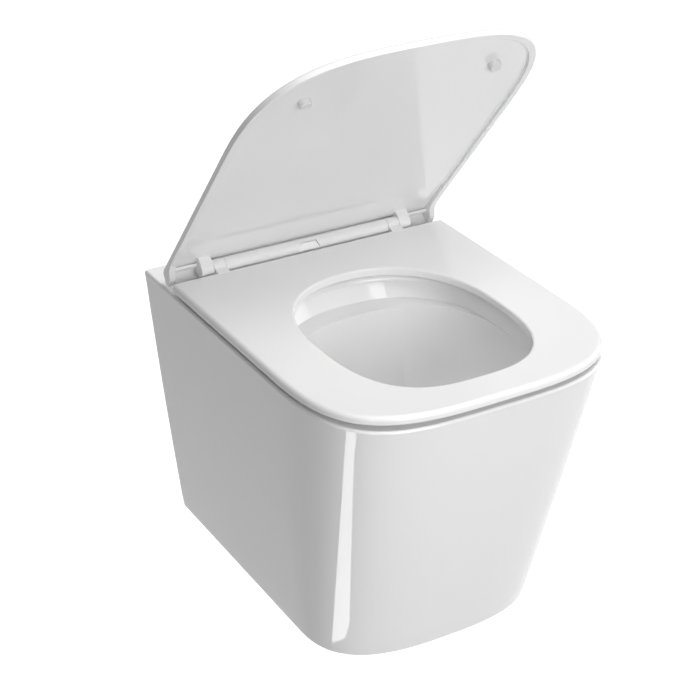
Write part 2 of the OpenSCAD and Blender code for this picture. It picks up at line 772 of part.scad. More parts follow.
tail_r = 15.5;
tail_skin = 3.6;
tail_angle = 160;
tail_end = 197;
ends_len = 18;
plate_low = cover_top - cover_t;
tail_p = [-5, cover_top];
tail_s = tail_r * [cos(tail_angle), sin(tail_angle)];
tail_q = [tail_s[0] + (cover_top - tail_s[1]) * tan(180 - tail_angle), cover_top];
lip_back = [-11, -5.1];
lip_low = [0.5, -3.1];
lip_front = [9, rim_rise - 2];

// The outer curve of the cover's tail: a bend from the flat top, then an arc round the axis
function tail_curve(inset) = concat([[0, cover_top - inset]],
  [for (i = [0:6]) let (t = i / 6)
    let (p = (1 - t) * (1 - t) * tail_p + 2 * t * (1 - t) * tail_q + t * t * tail_s)
    let (d = (1 - t) * (tail_q - tail_p) + t * (tail_s - tail_q), n = d / norm(d))
    p + inset * [-n[1], n[0]]],
  [for (i = [1:4]) let (a = tail_angle + (tail_end - tail_angle) * i / 4)
    (tail_r - inset) * [cos(a), sin(a)]]);

module tail() {
  outer = tail_curve(0);
  inner = tail_curve(tail_skin);
  side_profile(knuckle_in, cover_w / 2 - 1,
    concat(outer, [for (i = [len(inner) - 1:-1:0]) inner[i]]));
  side_profile(cover_w / 2 - cover_wall, cover_w / 2,
    concat(outer, [lip_back, lip_low, lip_front, [ends_len, rim_rise], [ends_len, cover_top - 1]]));
}

ear_front = bar_r + 1.2;
hollow_back = 30;
cover_plug_d = 5;
cover_plug_len = 2.8;

module ear() {
  along_x(ear_in, ear_out, bar_r);
  side_profile(ear_in, ear_out, [[-10.5, 5], [-8, plate_low + cut], [ear_front, plate_low + cut],
    [ear_front, 3], [bar_r - 0.1, 0], [-bar_r + 0.1, 0]]);
}

module cover_closed() difference() {
  union() {
    difference() {
      translate([0, -axis_y, -axis_z]) loft([for (e = [[rim_rise, -1], [rim_rise + 1, 0],
          [cover_top - 3.4, 0], [cover_top - 1.2, -1.2], [cover_top, -4]])
        level(axis_z + e[0], outline(cover_w, cover_front, axis_in + tail_p[0],
          cover_start, cover_power, e[1]))]);
      translate([0, -axis_y, -axis_z]) loft([for (e = [[rim_rise - cut, 0.6], [plate_low, 0]])
        level(axis_z + e[0], outline(cover_w - 2 * cover_wall, cover_front - cover_wall,
          axis_in - hollow_back, cover_start, cover_power, e[1]))]);
      translate([-cover_w / 2 + cover_wall, -band_len, plate_low - cut])
        cube([cover_w - 2 * cover_wall, band_len + hollow_back, cut + band_deep]);
    }
    both() tail();
    both() ear();
  }
  keyed_bore(ear_in - cut, ear_out - ear_skin);
  along_x(-ear_out + ear_skin, -ear_in + cut, shaft_d / 2 + shaft_fit);
  both() translate([cover_pad_x, -cover_pad_s, plate_low - cut])
    cylinder(r = cover_plug_d / 2 + plug_fit, h = cut + cover_plug_len + 2 * plug_fit);
}

module at_rest() translate([0, axis_y, axis_z]) rotate([-cover_open, 0, 0]) children();

// Where the cover's two curled ends join its plate
module ends_box() both() translate([knuckle_in, -ends_len, -2 * tail_r])
  cube([cover_w / 2, 2 * ends_len, 4 * tail_r]);

module cover() color(plastic) at_rest() difference() {
  cover_closed();
  ends_box();
}

module cover_ends() color(plastic) at_rest() intersection() {
  cover_closed();
  ends_box();
}

pad_len = plate_low - (seat_top - axis_z) - cover_pad_s * sin(close_past) - 0.12;

module cover_buffers() color(rubber) at_rest() both()
  translate([cover_pad_x, -cover_pad_s, plate_low]) {
    translate([0, 0, -pad_len + pad_chamfer]) cylinder(r = cover_pad_d / 2, h = pad_len - pad_chamfer);
    translate([0, 0, -pad_len])
      cylinder(r1 = cover_pad_d / 2 - pad_chamfer, r2 = cover_pad_d / 2, h = pad_chamfer);
    cylinder(r = cover_plug_d / 2, h = cover_plug_len);
  }

pan();
bowl();
stud_sleeves();
expansion_bushes();
bush_nuts();
hinge_bolts();
bolt_washers();
base_discs();
hinge_plate();
hinge_bar();
latch_keeper();
end_bushings();
seat_damper();
cover_damper();
seat_shaft();
cover_shaft();
release_button();
latch_left();
latch_right();
spring_left();
spring_right();
seat();
seat_buffers();
cover();
cover_ends();
cover_buffers();
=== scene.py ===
# Looks for a wall hung toilet: a glazed pan, a slim seat and cover on a quick-release hinge.
import math
import bmesh
import bpy
import numpy as np
from mathutils import Matrix, Vector


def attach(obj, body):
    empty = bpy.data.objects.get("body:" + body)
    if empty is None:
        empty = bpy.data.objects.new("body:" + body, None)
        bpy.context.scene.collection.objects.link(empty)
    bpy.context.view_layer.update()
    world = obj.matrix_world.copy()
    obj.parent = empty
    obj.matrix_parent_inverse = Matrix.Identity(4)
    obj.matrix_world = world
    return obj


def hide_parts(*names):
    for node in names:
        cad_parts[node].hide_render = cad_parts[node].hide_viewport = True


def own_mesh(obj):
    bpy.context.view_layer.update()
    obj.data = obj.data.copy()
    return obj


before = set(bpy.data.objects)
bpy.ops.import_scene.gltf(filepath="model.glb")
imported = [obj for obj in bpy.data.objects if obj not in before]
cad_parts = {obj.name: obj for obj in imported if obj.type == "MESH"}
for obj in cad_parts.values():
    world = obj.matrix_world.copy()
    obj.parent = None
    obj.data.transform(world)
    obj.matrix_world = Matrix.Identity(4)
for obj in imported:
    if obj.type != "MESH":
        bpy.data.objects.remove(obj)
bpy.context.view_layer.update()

# The camera. It stands to the left of the pan and looks down on it with a short telephoto lens,
# as in a catalogue picture. Its place was worked out from the outlines of the pan, seat and cover.
lens = bpy.data.cameras.new("lens")
lens.lens = 93.48
lens.sensor_width = 36.0
camera = bpy.data.objects.new("camera", lens)
camera.location = (-0.9427, -1.7797, 1.0003)
tilt, turn, roll = 28.0987, 30.355, 0.1124
look = Matrix.Rotation(math.radians(-turn), 4, "Z") @ Matrix.Rotation(math.radians(90 - tilt), 4, "X")
camera.rotation_euler = (look @ Matrix.Rotation(math.radians(roll), 4, "Z")).to_euler()
bpy.context.scene.collection.objects.link(camera)
bpy.context.scene.camera = camera

# The studio. The world is white to the eye and in reflections, but dimmer as a light, so that
# the glaze keeps its shading. Soft boxes stand round the pan over a white floor.
bpy.context.scene.view_settings.view_transform = "Standard"


def new_nodes(tree, *kinds):
    return [tree.nodes.new(kind) for kind in kinds]


def wire_up(tree, *links):
    """Links sockets: each link names the socket that it leaves and the socket that it feeds."""
    for start, end in links:
        tree.links.new(start, end)


def seen_white(tree, lit, shown):
    """Mixes two shaders: the eye, reflections and glass see the second, all other light the first."""
    rays, either, any_seen, pick = new_nodes(
        tree, "ShaderNodeLightPath", "ShaderNodeMath", "ShaderNodeMath", "ShaderNodeMixShader")
    either.operation = "MAXIMUM"
    any_seen.operation = "MAXIMUM"
    wire_up(tree, (rays.outputs["Is Camera Ray"], either.inputs[0]),
            (rays.outputs["Is Glossy Ray"], either.inputs[1]),
            (either.outputs[0], any_seen.inputs[0]),
            (rays.outputs["Is Transmission Ray"], any_seen.inputs[1]),
            (any_seen.outputs[0], pick.inputs[0]),
            (lit.outputs[0], pick.inputs[1]), (shown.outputs[0], pick.inputs[2]))
    return pick


world = bpy.data.worlds.new("studio")
bpy.context.scene.world = world
world.use_nodes = True
tree = world.node_tree
tree.nodes.clear()
dim, bright, sky = new_nodes(
    tree, "ShaderNodeBackground", "ShaderNodeBackground", "ShaderNodeOutputWorld")
dim.inputs["Color"].default_value = (1, 1, 1, 1)
dim.inputs["Strength"].default_value = 0.04
bright.inputs["Color"].default_value = (1, 1, 1, 1)
wire_up(tree, (seen_white(tree, dim, bright).outputs[0], sky.inputs["Surface"]))


def soft_box(name, place, size, watts, aim=(0, -0.27, 0)):
    """A lamp with a wide face that looks at the middle of the pan."""
    data = bpy.data.lights.new(name, "AREA")
    data.shape = "RECTANGLE"
    data.size, data.size_y = size
    data.energy = watts
    box = bpy.data.objects.new(name, data)
    box.location = place
    box.rotation_euler = (Vector(aim) - Vector(place)).to_track_quat("-Z", "Y").to_euler()
    bpy.context.scene.collection.objects.link(box)
    return box


for name, place, size, watts in (
        ("front_box", (0.0, -2.8, 0.8), (1.6, 1.2), 34.5),
        ("right_box", (2.6, -0.4, 0.9), (1.4, 1.4), 14),
        ("top_box", (0.45, -1.0, 2.4), (1.8, 1.6), 34),
        ("left_box", (-0.9, -0.7, 2.4), (1.2, 1.2), 8),
        ("back_box", (0.2, 2.6, 0.7), (2.0, 1.6), 14),
        ("left_strip", (-1.35, -1.9, 0.1), (0.16, 1.6), 5)):
    soft_box(name, place, size, watts)

# A long card lies near the floor and faces up. Only reflections show it: the glaze draws it as
# the bright line down the pan's corner.
floor_z, card_lift, card_turn = -0.62, 0.02, 15
card = soft_box("corner_card", (-0.55, -0.46, floor_z + card_lift), (0.46, 0.17), 1.3)
card.rotation_euler = (math.pi, 0, math.radians(card_turn))
card.visible_diffuse = False
card.visible_camera = False

bpy.ops.mesh.primitive_plane_add(size=24, location=(0, 0, floor_z))
floor = bpy.context.object
floor.name = "floor"
floor_paint = bpy.data.materials.new("floor_paint")
floor_paint.use_nodes = True
tree = floor_paint.node_tree
tree.nodes.clear()
matt, glow, lift, faced, clear, choose, done = new_nodes(
    tree, "ShaderNodeBsdfDiffuse", "ShaderNodeEmission", "ShaderNodeAddShader",
    "ShaderNodeNewGeometry", "ShaderNodeBsdfTransparent", "ShaderNodeMixShader",
    "ShaderNodeOutputMaterial")
matt.inputs["Color"].default_value = (0.5, 0.5, 0.5, 1)
glow.inputs["Strength"].default_value = 1.0
wire_up(tree, (matt.outputs[0], lift.inputs[0]), (glow.outputs[0], lift.inputs[1]))
# From below, the floor lets the eye through, so that the underside can be seen.
wire_up(tree, (faced.outputs["Backfacing"], choose.inputs[0]),
        (seen_white(tree, matt, lift).outputs[0], choose.inputs[1]),
        (clear.outputs[0], choose.inputs[2]), (choose.outputs[0], done.inputs["Surface"]))
floor.data.materials.append(floor_paint)

# The pan. It is cast in vitreous china in two parts, a shroud and a bowl with its trap, stuck
# together under the deck. The glaze covers all that shows; the inside of the shroud and the
# ground face on the wall stay bare.
NUMBER, VECTOR, COLOUR = "NodeSocketFloat", "NodeSocketVector", "NodeSocketColor"


def shader_group(name, inputs, output, kind, detail):
    """Starts a shader group with noise on Object coordinates, and gives its nodes to build on."""
    group = bpy.data.node_groups.new(name, "ShaderNodeTree")
    for label, socket in inputs:
        group.interface.new_socket(label, in_out="INPUT", socket_type=socket)
    group.interface.new_socket(output, in_out="OUTPUT", socket_type=kind)
    given, place, stretch, noise, out = new_nodes(
        group, "NodeGroupInput", "ShaderNodeTexCoord", "ShaderNodeVectorMath",
        "ShaderNodeTexNoise", "NodeGroupOutput")
    stretch.operation = "MULTIPLY"
    noise.inputs["Scale"].default_value = 1.0
    noise.inputs["Detail"].default_value = detail
    wire_up(group, (place.outputs["Object"], stretch.inputs[0]),
            (given.outputs["Scale"], stretch.inputs[1]), (stretch.outputs[0], noise.inputs["Vector"]))
    return group, given, noise, out


# The faint waves of a glaze or a polish, as a normal.
ripple, given, noise, out = shader_group(
    "ripple", (("Scale", VECTOR), ("Height", NUMBER)), "Normal", VECTOR, 1.0)
bump = ripple.nodes.new("ShaderNodeBump")
wire_up(ripple, (noise.outputs[0], bump.inputs["Height"]),
        (given.outputs["Height"], bump.inputs["Distance"]), (bump.outputs["Normal"], out.inputs["Normal"]))

# A slight drift of tone, as fired and moulded pieces have.
drift, given, noise, out = shader_group(
    "drift", (("Scale", VECTOR), ("Colour", COLOUR), ("Amount", NUMBER)), "Colour", COLOUR, 2.0)
less, keep, shade = new_nodes(drift, "ShaderNodeMath", "ShaderNodeMath", "ShaderNodeVectorMath")
less.operation = "MULTIPLY"
keep.operation = "SUBTRACT"
keep.inputs[0].default_value = 1.0
shade.operation = "SCALE"
wire_up(drift, (noise.outputs[0], less.inputs[0]), (given.outputs["Amount"], less.inputs[1]),
        (less.outputs[0], keep.inputs[1]), (given.outputs["Colour"], shade.inputs[0]),
        (keep.outputs[0], shade.inputs["Scale"]), (shade.outputs[0], out.inputs["Colour"]))

# A fine unevenness of the gloss. The noise is stretched to run from the low value to the high one.
smear, given, noise, out = shader_group(
    "smear", (("Scale", VECTOR), ("Low", NUMBER), ("High", NUMBER)), "Roughness", NUMBER, 3.0)
spread = smear.nodes.new("ShaderNodeMapRange")
spread.inputs["From Min"].default_value = 0.3
spread.inputs["From Max"].default_value = 0.7
wire_up(smear, (noise.outputs[0], spread.inputs["Value"]), (given.outputs["Low"], spread.inputs["To Min"]),
        (given.outputs["High"], spread.inputs["To Max"]), (spread.outputs[0], out.inputs["Roughness"]))

tone_scale, gloss_scale = 6.0, 54.0


def surface(name, colour, gloss, metallic=0.0, tone=0.02, waves=40.0, depth=0.00003):
    """A finish: its colour and drift, its range of roughness, and its waves' scale and depth."""
    paint = bpy.data.materials.new(name)
    paint.use_nodes = True
    tree = paint.node_tree
    shader = tree.nodes["Principled BSDF"]
    shader.inputs["Metallic"].default_value = metallic
    waves = waves if isinstance(waves, tuple) else (waves,) * 3
    for group, target, values in (
            (drift, "Base Color", {"Scale": (tone_scale,) * 3, "Colour": (*colour, 1), "Amount": tone}),
            (smear, "Roughness", {"Scale": (gloss_scale,) * 3, "Low": gloss[0], "High": gloss[1]}),
            (ripple, "Normal", {"Scale": waves, "Height": depth})):
        node = tree.nodes.new("ShaderNodeGroup")
        node.node_tree = group
        for label, value in values.items():
            node.inputs[label].default_value = value
        tree.links.new(node.outputs[0], shader.inputs[target])
    return paint


glaze = surface("glaze", (0.92, 0.92, 0.92), (0.05, 0.08), tone=0.015, waves=18.0, depth=0.0001)
bare_china = surface("bare_china", (0.76, 0.75, 0.71), (0.55, 0.7), tone=0.1, waves=500.0, depth=0.00008)
# Sizes from here on are in millimetres, and a tool reaches 1 mm past the face that it cuts.
MM = 0.001
cut = 1
GLAZED, BARE = 0, 1
pan_w, pan_len, pan_h = 360, 475, 340
deck_z = 80
foot_z = deck_z - pan_h
pan_top = dict(w=pan_w, front=pan_len, start=283, power=3.9)
pan_foot = dict(w=288, front=396, start=297, power=2.8)
side_bulge, deck_round, foot_round = 1.5, 3, 4
skirt_t, floor_t, deck_t, rear_t = 12, 12, 14, 14
under_deck = deck_z - deck_t
rim_side, rim_front = 56, 37
bowl_rear, bowl_round, bowl_t = 146, 6, 10
shelf_drop, shelf_front = 22, 188
sump_drop, sump_half, sump_rear, sump_front, sump_floor = 317, 38, 207, 280, 6
quarter_turn = [math.radians(a) for a in range(0, 91, 10)]


def resample(points, count):
    """Points at even steps along a line."""
    points = np.array(points, float)
    steps = np.linalg.norm(np.diff(points, axis=0), axis=1)
    run = np.concatenate([[0], np.cumsum(steps)])
    at = np.linspace(0, run[-1], count)
    return np.stack([np.interp(at, run, points[:, k]) for k in range(2)], axis=1)


def rounded_front(w, front, start, power, rear=0.0, grow=0.0, rear_round=2.0):
    """An outline with straight flanks, small corners behind and a rounded front."""
    nose_points, flank_points, rear_points = 140, 24, 60
    side = w / 2 + grow
    a = np.linspace(0, math.pi / 2, 1500)
    nose = np.stack([side * np.cos(a) ** (2 / power),
                     -start - (front + grow - start) * np.sin(a) ** (2 / power)], 1)
    back = [(side - rear_round + rear_round * math.cos(b), -rear - rear_round + rear_round * math.sin(b))
            for b in np.linspace(math.pi / 2, 0, 6)]
    flank = resample([back[-1], (side, -start)], flank_points)[1:-1]
    half = np.concatenate([back, flank, resample(nose, nose_points)])
    far = resample([back[0] * np.array([-1, 1]), back[0]], rear_points)[1:-1]
    return np.concatenate([half, half[-2::-1] * [-1, 1], far])


def egg(half, rear, front, wide, power_r, power_f, grow=0.0, count=200):
    """A closed oval: one power behind its widest line and another before it."""
    a = np.linspace(0, 2 * math.pi, 6001)
    s, c = np.sin(a), np.cos(a)
    p = np.where(s > 0, power_r, power_f)
    reach = np.where(s > 0, wide - rear, front - wide)
    x = (half + grow) * np.sign(c) * np.abs(c) ** (2 / p)
    y = -wide + (reach + grow) * np.sign(s) * np.abs(s) ** (2 / p)
    return resample(np.stack([x, y], 1), count + 1)[:-1]


def level(z, outline):
    """An outline in millimetres, laid at a height as points in metres."""
    return [(p[0] * MM, p[1] * MM, z * MM) for p in outline]


def skin(name, rings, capped=True, paint=GLAZED):
    """A closed mesh through rings of equal count."""
    shape = bmesh.new()
    rows = [[shape.verts.new(p) for p in ring] for ring in rings]
    loops = list(zip(rows, rows[1:])) + ([] if capped else [(rows[-1], rows[0])])
    for low, high in loops:
        for j in range(len(low)):
            k = (j + 1) % len(low)
            shape.faces.new((low[j], low[k], high[k], high[j]))
    if capped:
        shape.faces.new(rows[0][::-1])
        shape.faces.new(rows[-1])
    for face in shape.faces:
        face.material_index = paint
    bmesh.ops.recalc_face_normals(shape, faces=shape.faces)
    mesh = bpy.data.meshes.new(name)
    shape.to_mesh(mesh)
    shape.free()
    piece = bpy.data.objects.new(name, mesh)
    bpy.context.scene.collection.objects.link(piece)
    return piece


def block(name, low, high, paint=GLAZED):
    """A square-edged block between two opposite corners."""
    outline = [(low[0], low[1]), (high[0], low[1]), (high[0], high[1]), (low[0], high[1])]
    return skin(name, [level(low[2], outline), level(high[2], outline)], paint=paint)


def rod(name, start, end, r, sides=96, bevel=0.0, paint=GLAZED):
    """A round bar between two points, with its ends eased where a bevel is given."""
    start, end = Vector(start) * MM, Vector(end) * MM
    along = (end - start).normalized()
    across = along.orthogonal().normalized()
    other = along.cross(across)
    edge = [(0, -bevel), (bevel * 0.3, -bevel * 0.3), (bevel, 0)] if bevel else [(0, 0)]
    stops = [(start + along * d * MM, r + e) for d, e in edge]
    stops += [(end - along * d * MM, r + e) for d, e in edge[::-1]]
    spin = [2 * math.pi * k / sides for k in range(sides)]
    return skin(name, [[tuple(p + (across * math.cos(a) + other * math.sin(a)) * e * MM) for a in spin]
                       for p, e in stops], paint=paint)


def settle(piece):
    """Turns what the modifiers make into the piece's plain mesh."""
    reach = bpy.context.evaluated_depsgraph_get()
    mesh = bpy.data.meshes.new_from_object(piece.evaluated_get(reach))
    piece.modifiers.clear()
    piece.data = mesh
    return piece


def combine(piece, tools, how="DIFFERENCE"):
    """Cuts the tools from a piece, or joins them to it, and uses them up."""
    for tool in tools:
        step = piece.modifiers.new("step", "BOOLEAN")
        step.operation = how
        step.solver = "MANIFOLD"
        step.object = tool
        settle(piece)
        bpy.data.objects.remove(tool)
    return piece


def finish_mesh(piece, sharp=32.0):
    """Merges doubles and shades the piece smooth between its sharp edges."""
    double, sliver = 0.000004, 0.000002
    shape = bmesh.new()
    shape.from_mesh(piece.data)
    bmesh.ops.remove_doubles(shape, verts=shape.verts, dist=double)
    bmesh.ops.dissolve_degenerate(shape, dist=sliver, edges=shape.edges)
    bmesh.ops.recalc_face_normals(shape, faces=shape.faces)
    shape.to_mesh(piece.data)
    shape.free()
    piece.data.shade_smooth()
    piece.data.set_sharp_from_angle(angle=math.radians(sharp))
    even = piece.modifiers.new("even", "WEIGHTED_NORMAL")
    even.keep_sharp = True
    even.weight = 80
    return settle(piece)


def hand_over(piece, paints, body, slot, *nodes):
    """Gives a finished piece its paints, hides the model's parts that it stands for and hangs it on its
    body.
    """
    piece.data.materials.clear()
    for paint in paints:
        piece.data.materials.append(paint)
    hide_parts(*nodes)
    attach(piece, body)


def pan_ring(t, grow=0.0, rear=0.0):
    """The shroud's outline, from the deck at 0 to the foot at 1, with its flanks swollen between."""
    mix = {k: pan_top[k] + (pan_foot[k] - pan_top[k]) * t for k in pan_top}
    swell = 4 * side_bulge * t * (1 - t)
    mix["w"] += 2 * swell
    mix["front"] += swell
    return rounded_front(rear=rear, grow=grow, **mix)


mouth_in, mouth_back, ledge = 2, 14, 1
mouth_half, mouth_front = pan_w / 2 - rim_side, pan_len - rim_front
bowl_wide, bowl_power_r, bowl_power_f, taper_power = 0.48, 2.4, 2.5, 0.8


def bowl_ring(half, rear, front, grow=0.0):
    return egg(half, rear, front, rear + (front - rear) * bowl_wide, bowl_power_r, bowl_power_f, grow)


def sump(grow, top, bottom, paint=GLAZED, steps=36):
    """The bowl below its shelf, narrowed from the mouth to the sump."""
    rings = []
    for i in range(steps, -1, -1):
        t = i / steps
        k = (1 + math.cos(math.pi * t ** taper_power)) / 2
        half = sump_half + (mouth_half - mouth_in - ledge - sump_half) * k
        rear = sump_rear + (shelf_front - sump_rear) * k
        front = sump_front + (mouth_front - mouth_in - ledge - sump_front) * k
        rings.append(level(deck_z - top - (bottom - top) * t, bowl_ring(half, rear, front, grow)))
    return skin("sump", rings, paint=paint)


def mouth(grow, open_top, paint=GLAZED):
    """The bowl above its shelf, with its rim rounded over where the top is open."""
    rings = [level(deck_z - shelf_drop - grow,
                   bowl_ring(mouth_half - mouth_in, bowl_rear + mouth_back, mouth_front - mouth_in, grow)),
             level(deck_z - bowl_round, bowl_ring(mouth_half, bowl_rear, mouth_front, grow))]
    if open_top:
        rings += [level(deck_z - bowl_round * (1 - math.sin(a)),
                        bowl_ring(mouth_half, bowl_rear, mouth_front, bowl_round * (1 - math.cos(a))))
                  for a in quarter_turn[1:]]
        rings.append(level(deck_z + cut, bowl_ring(mouth_half, bowl_rear, mouth_front, bowl_round + cut)))
    else:
        rings.append(level(deck_z - cut, bowl_ring(mouth_half, bowl_rear, mouth_front, grow)))
    return skin("mouth", rings, paint=paint)


water_drop, bend_in, bend_r, limb = 195, 22, 45, math.radians(75)
trap_r, trap_t, trap_start, trap_end, trap_level = 35, 9, -6, -61, 8
entry_z = deck_z - sump_drop + trap_r
crest_z = deck_z - water_drop + trap_r
bend_y = bend_in - sump_rear
limb_len = (crest_z - entry_z - 2 * bend_r * (1 - math.cos(limb))) / math.sin(limb)
crest_y = bend_y + 2 * bend_r * math.sin(limb) + limb_len * math.cos(limb)


def trap_tube(r, paint=GLAZED, steps=10, sides=64):
    """The trap's way: in from the sump, up the limb, over the weir and level to the spigot."""
    turn = [limb * k / steps for k in range(steps + 1)]
    way = [(trap_start - sump_rear, entry_z)]
    way += [(bend_y + bend_r * math.sin(a), entry_z + bend_r * (1 - math.cos(a))) for a in turn]
    way += [(crest_y - bend_r * math.sin(a), crest_z - bend_r * (1 - math.cos(a))) for a in turn[::-1]]
    way += [(trap_end - trap_level, crest_z - 1), (trap_end, crest_z - 1)]
    way = np.array(way)
    spin = [2 * math.pi * k / sides for k in range(sides)]
    rings = []
    for i, p in enumerate(way):
        d = way[min(i + 1, len(way) - 1)] - way[max(i - 1, 0)]
        d = d / np.linalg.norm(d)
        rings.append([(r * math.cos(a) * MM, (p[0] + r * math.sin(a) * d[1]) * MM,
                       (p[1] - r * math.sin(a) * d[0]) * MM) for a in spin])
    return skin("trap", rings, paint=paint)


wall_rings, hollow_rings = np.linspace(0.95, 0.05, 28), np.linspace(foot_z + floor_t, under_deck, 12)
rings = [level(foot_z + foot_round * (1 - math.cos(a)), pan_ring(1, -foot_round * (1 - math.sin(a))))
         for a in quarter_turn]
rings += [level(deck_z - pan_h * t, pan_ring(t)) for t in wall_rings]
rings += [level(deck_z - deck_round * (1 - math.sin(a)), pan_ring(0, -deck_round * (1 - math.cos(a))))
          for a in quarter_turn]
pan = skin("pan_china", rings)
pan.data.materials.append(glaze)
pan.data.materials.append(bare_china)
hollow = skin("hollow", [level(z, pan_ring((deck_z - z) / pan_h, -skirt_t, rear_t)) for z in hollow_rings],
              paint=BARE)
waste_z, spigot_r, waste_r, socket_room, spigot_in, collar_end = -100, 51, 44, 15, -64, -56
access_half, access_len = 100, 112
combine(pan, [hollow, rod("waste_hole", (0, -rear_t - cut, waste_z), (0, cut, waste_z),
                          spigot_r + socket_room, paint=BARE),
              block("access", (-access_half, -rear_t - access_len, foot_z - 2 * cut),
                    (access_half, -rear_t, foot_z + floor_t + 2 * cut), paint=BARE)])
inlet_z, inlet_r, inlet_len, feed_r, boss_half = 35, 27.5, 45, 20.5, 37.5
chamber_half, chamber_t, chamber_h, chamber_d, chamber_in, chamber_roof = 100, 8, 42, 36, 14, 4
chamber_y, chamber_z = chamber_in - bowl_rear, under_deck - chamber_roof - chamber_h
outlet_x, outlet_len, outlet_r = -92, 70, 6
outlet_z = deck_z - shelf_drop + outlet_r + 1
combine(pan, [sump(bowl_t, shelf_drop - bowl_t, sump_drop + sump_floor, BARE), mouth(bowl_t, False, BARE),
              trap_tube(trap_r + trap_t, BARE),
              rod("spigot", (0, spigot_in - trap_t, waste_z), (0, 0, waste_z), spigot_r, paint=BARE),
              rod("collar", (0, spigot_in, waste_z), (0, collar_end, waste_z), spigot_r + trap_t,
                  paint=BARE),
              block("inlet_boss", (-boss_half, chamber_y, inlet_z - boss_half),
                    (boss_half, 0, under_deck + cut), BARE),
              block("chamber_box", (-chamber_half - chamber_t, -bowl_rear - bowl_t, chamber_z - chamber_t),
                    (chamber_half + chamber_t, chamber_y + chamber_d + chamber_t,
                     chamber_z + chamber_h + chamber_t), BARE)], "UNION")
combine(pan, [sump(0, shelf_drop, sump_drop), mouth(0, True), trap_tube(trap_r),
              rod("waste_bore", (0, spigot_in, waste_z), (0, cut, waste_z), waste_r),
              rod("inlet", (0, -inlet_len, inlet_z), (0, cut, inlet_z), inlet_r, paint=BARE),
              rod("feed", (0, chamber_y, inlet_z), (0, cut - inlet_len, inlet_z), feed_r, paint=BARE),
              block("chamber", (-chamber_half, chamber_y, chamber_z),
                    (chamber_half, chamber_y + chamber_d, chamber_z + chamber_h), BARE),
              rod("outlet", (outlet_x, chamber_y - outlet_len, outlet_z),
                  (outlet_x, chamber_y + cut, outlet_z), outlet_r)])
axis_y, axis_z = -66.5, 97.0
stud_x, stud_hole_r, bolt_x, bush_hole_r = 90, 11, 77.5, 7
for side in (-1, 1):
    combine(pan, [rod("stud_hole", (side * stud_x, -rear_t - cut, 0), (side * stud_x, cut, 0),
                      stud_hole_r, paint=BARE),
                  rod("bush_hole", (side * bolt_x, axis_y, under_deck - cut),
                      (side * bolt_x, axis_y, deck_z + cut), bush_hole_r, paint=BARE)])
finish_mesh(pan)
# The faces that lie on the wall were ground flat after firing.
ground_y = -0.00002
for face in pan.data.polygons:
    if face.center.y > ground_y:
        face.material_index = BARE
hand_over(pan, (glaze, bare_china), "root", "ceramic", "pan", "bowl")

# The wall sleeves. Two white nylon sleeves sit in the rear plate and keep the studs of the wall
# frame off the china. Their flanges take the nuts and washers from inside the shroud.
nylon = surface("nylon", (0.80, 0.80, 0.78), (0.4, 0.5), tone=0.03, waves=300.0, depth=0.00002)


def piece_tree(name, *inputs):
    """A geometry tree that takes and gives a mesh, and the identifiers of its named inputs."""
    tree = bpy.data.node_groups.new(name, "GeometryNodeTree")
    tree.interface.new_socket("Geometry", in_out="INPUT", socket_type="NodeSocketGeometry")
    tree.interface.new_socket("Geometry", in_out="OUTPUT", socket_type="NodeSocketGeometry")
    keys = {}
    for label, kind, value in inputs:
        socket = tree.interface.new_socket(label, in_out="INPUT", socket_type=kind)
        if value is not None:
            socket.default_value = value
        keys[label] = socket.identifier
    return tree, keys


def end_tree(tree, given, made):
    """Ends a tree: what it made becomes real mesh and takes the paint that it was given."""
    real, dress, out = new_nodes(
        tree, "GeometryNodeRealizeInstances", "GeometryNodeSetMaterial", "NodeGroupOutput")
    wire_up(tree, (made, real.inputs[0]), (real.outputs[0], dress.inputs["Geometry"]),
            (given.outputs["Paint"], dress.inputs["Material"]), (dress.outputs[0], out.inputs[0]))


def run_tree(piece, tree, keys, values):
    """Runs a geometry tree on a piece and keeps its result as the plain mesh."""
    step = piece.modifiers.new("made", "NODES")
    step.node_group = tree
    for label, value in values.items():
        step[keys[label]] = value
    return settle(piece)


# The tree for what comes twice or four times: copies of the piece stand on one or two rows.
rows_tree, ROWS = piece_tree(
    "rows", ("Half width", NUMBER, 0.1), ("Place", VECTOR, (0, 0, 0)),
    ("Half width 2", NUMBER, 0.1), ("Place 2", VECTOR, (0, 0, 0)),
    ("Second row", "NodeSocketBool", False), ("Paint", "NodeSocketMaterial", None))
given, second, both_rows, put = new_nodes(
    rows_tree, "NodeGroupInput", "GeometryNodeSwitch", "GeometryNodeJoinGeometry",
    "GeometryNodeInstanceOnPoints")
second.input_type = "GEOMETRY"


def row_of_two(half, place):
    """Two points, half a width to each side of a place."""
    line, left, width, step = new_nodes(
        rows_tree, "GeometryNodeMeshLine", "ShaderNodeVectorMath", "ShaderNodeCombineXYZ",
        "ShaderNodeVectorMath")
    line.inputs["Count"].default_value = 2
    left.operation = "SUBTRACT"
    step.operation = "SCALE"
    step.inputs["Scale"].default_value = 2.0
    wire_up(rows_tree, (given.outputs[half], width.inputs["X"]), (given.outputs[place], left.inputs[0]),
            (width.outputs[0], left.inputs[1]), (width.outputs[0], step.inputs[0]),
            (left.outputs[0], line.inputs["Start Location"]), (step.outputs[0], line.inputs["Offset"]))
    return line.outputs[0]


wire_up(rows_tree, (given.outputs["Second row"], second.inputs["Switch"]),
        (row_of_two("Half width 2", "Place 2"), second.inputs["True"]),
        (second.outputs[0], both_rows.inputs[0]),
        (row_of_two("Half width", "Place"), both_rows.inputs[0]),
        (both_rows.outputs[0], put.inputs["Points"]), (given.outputs["Geometry"], put.inputs["Instance"]))
end_tree(rows_tree, given, put.outputs[0])


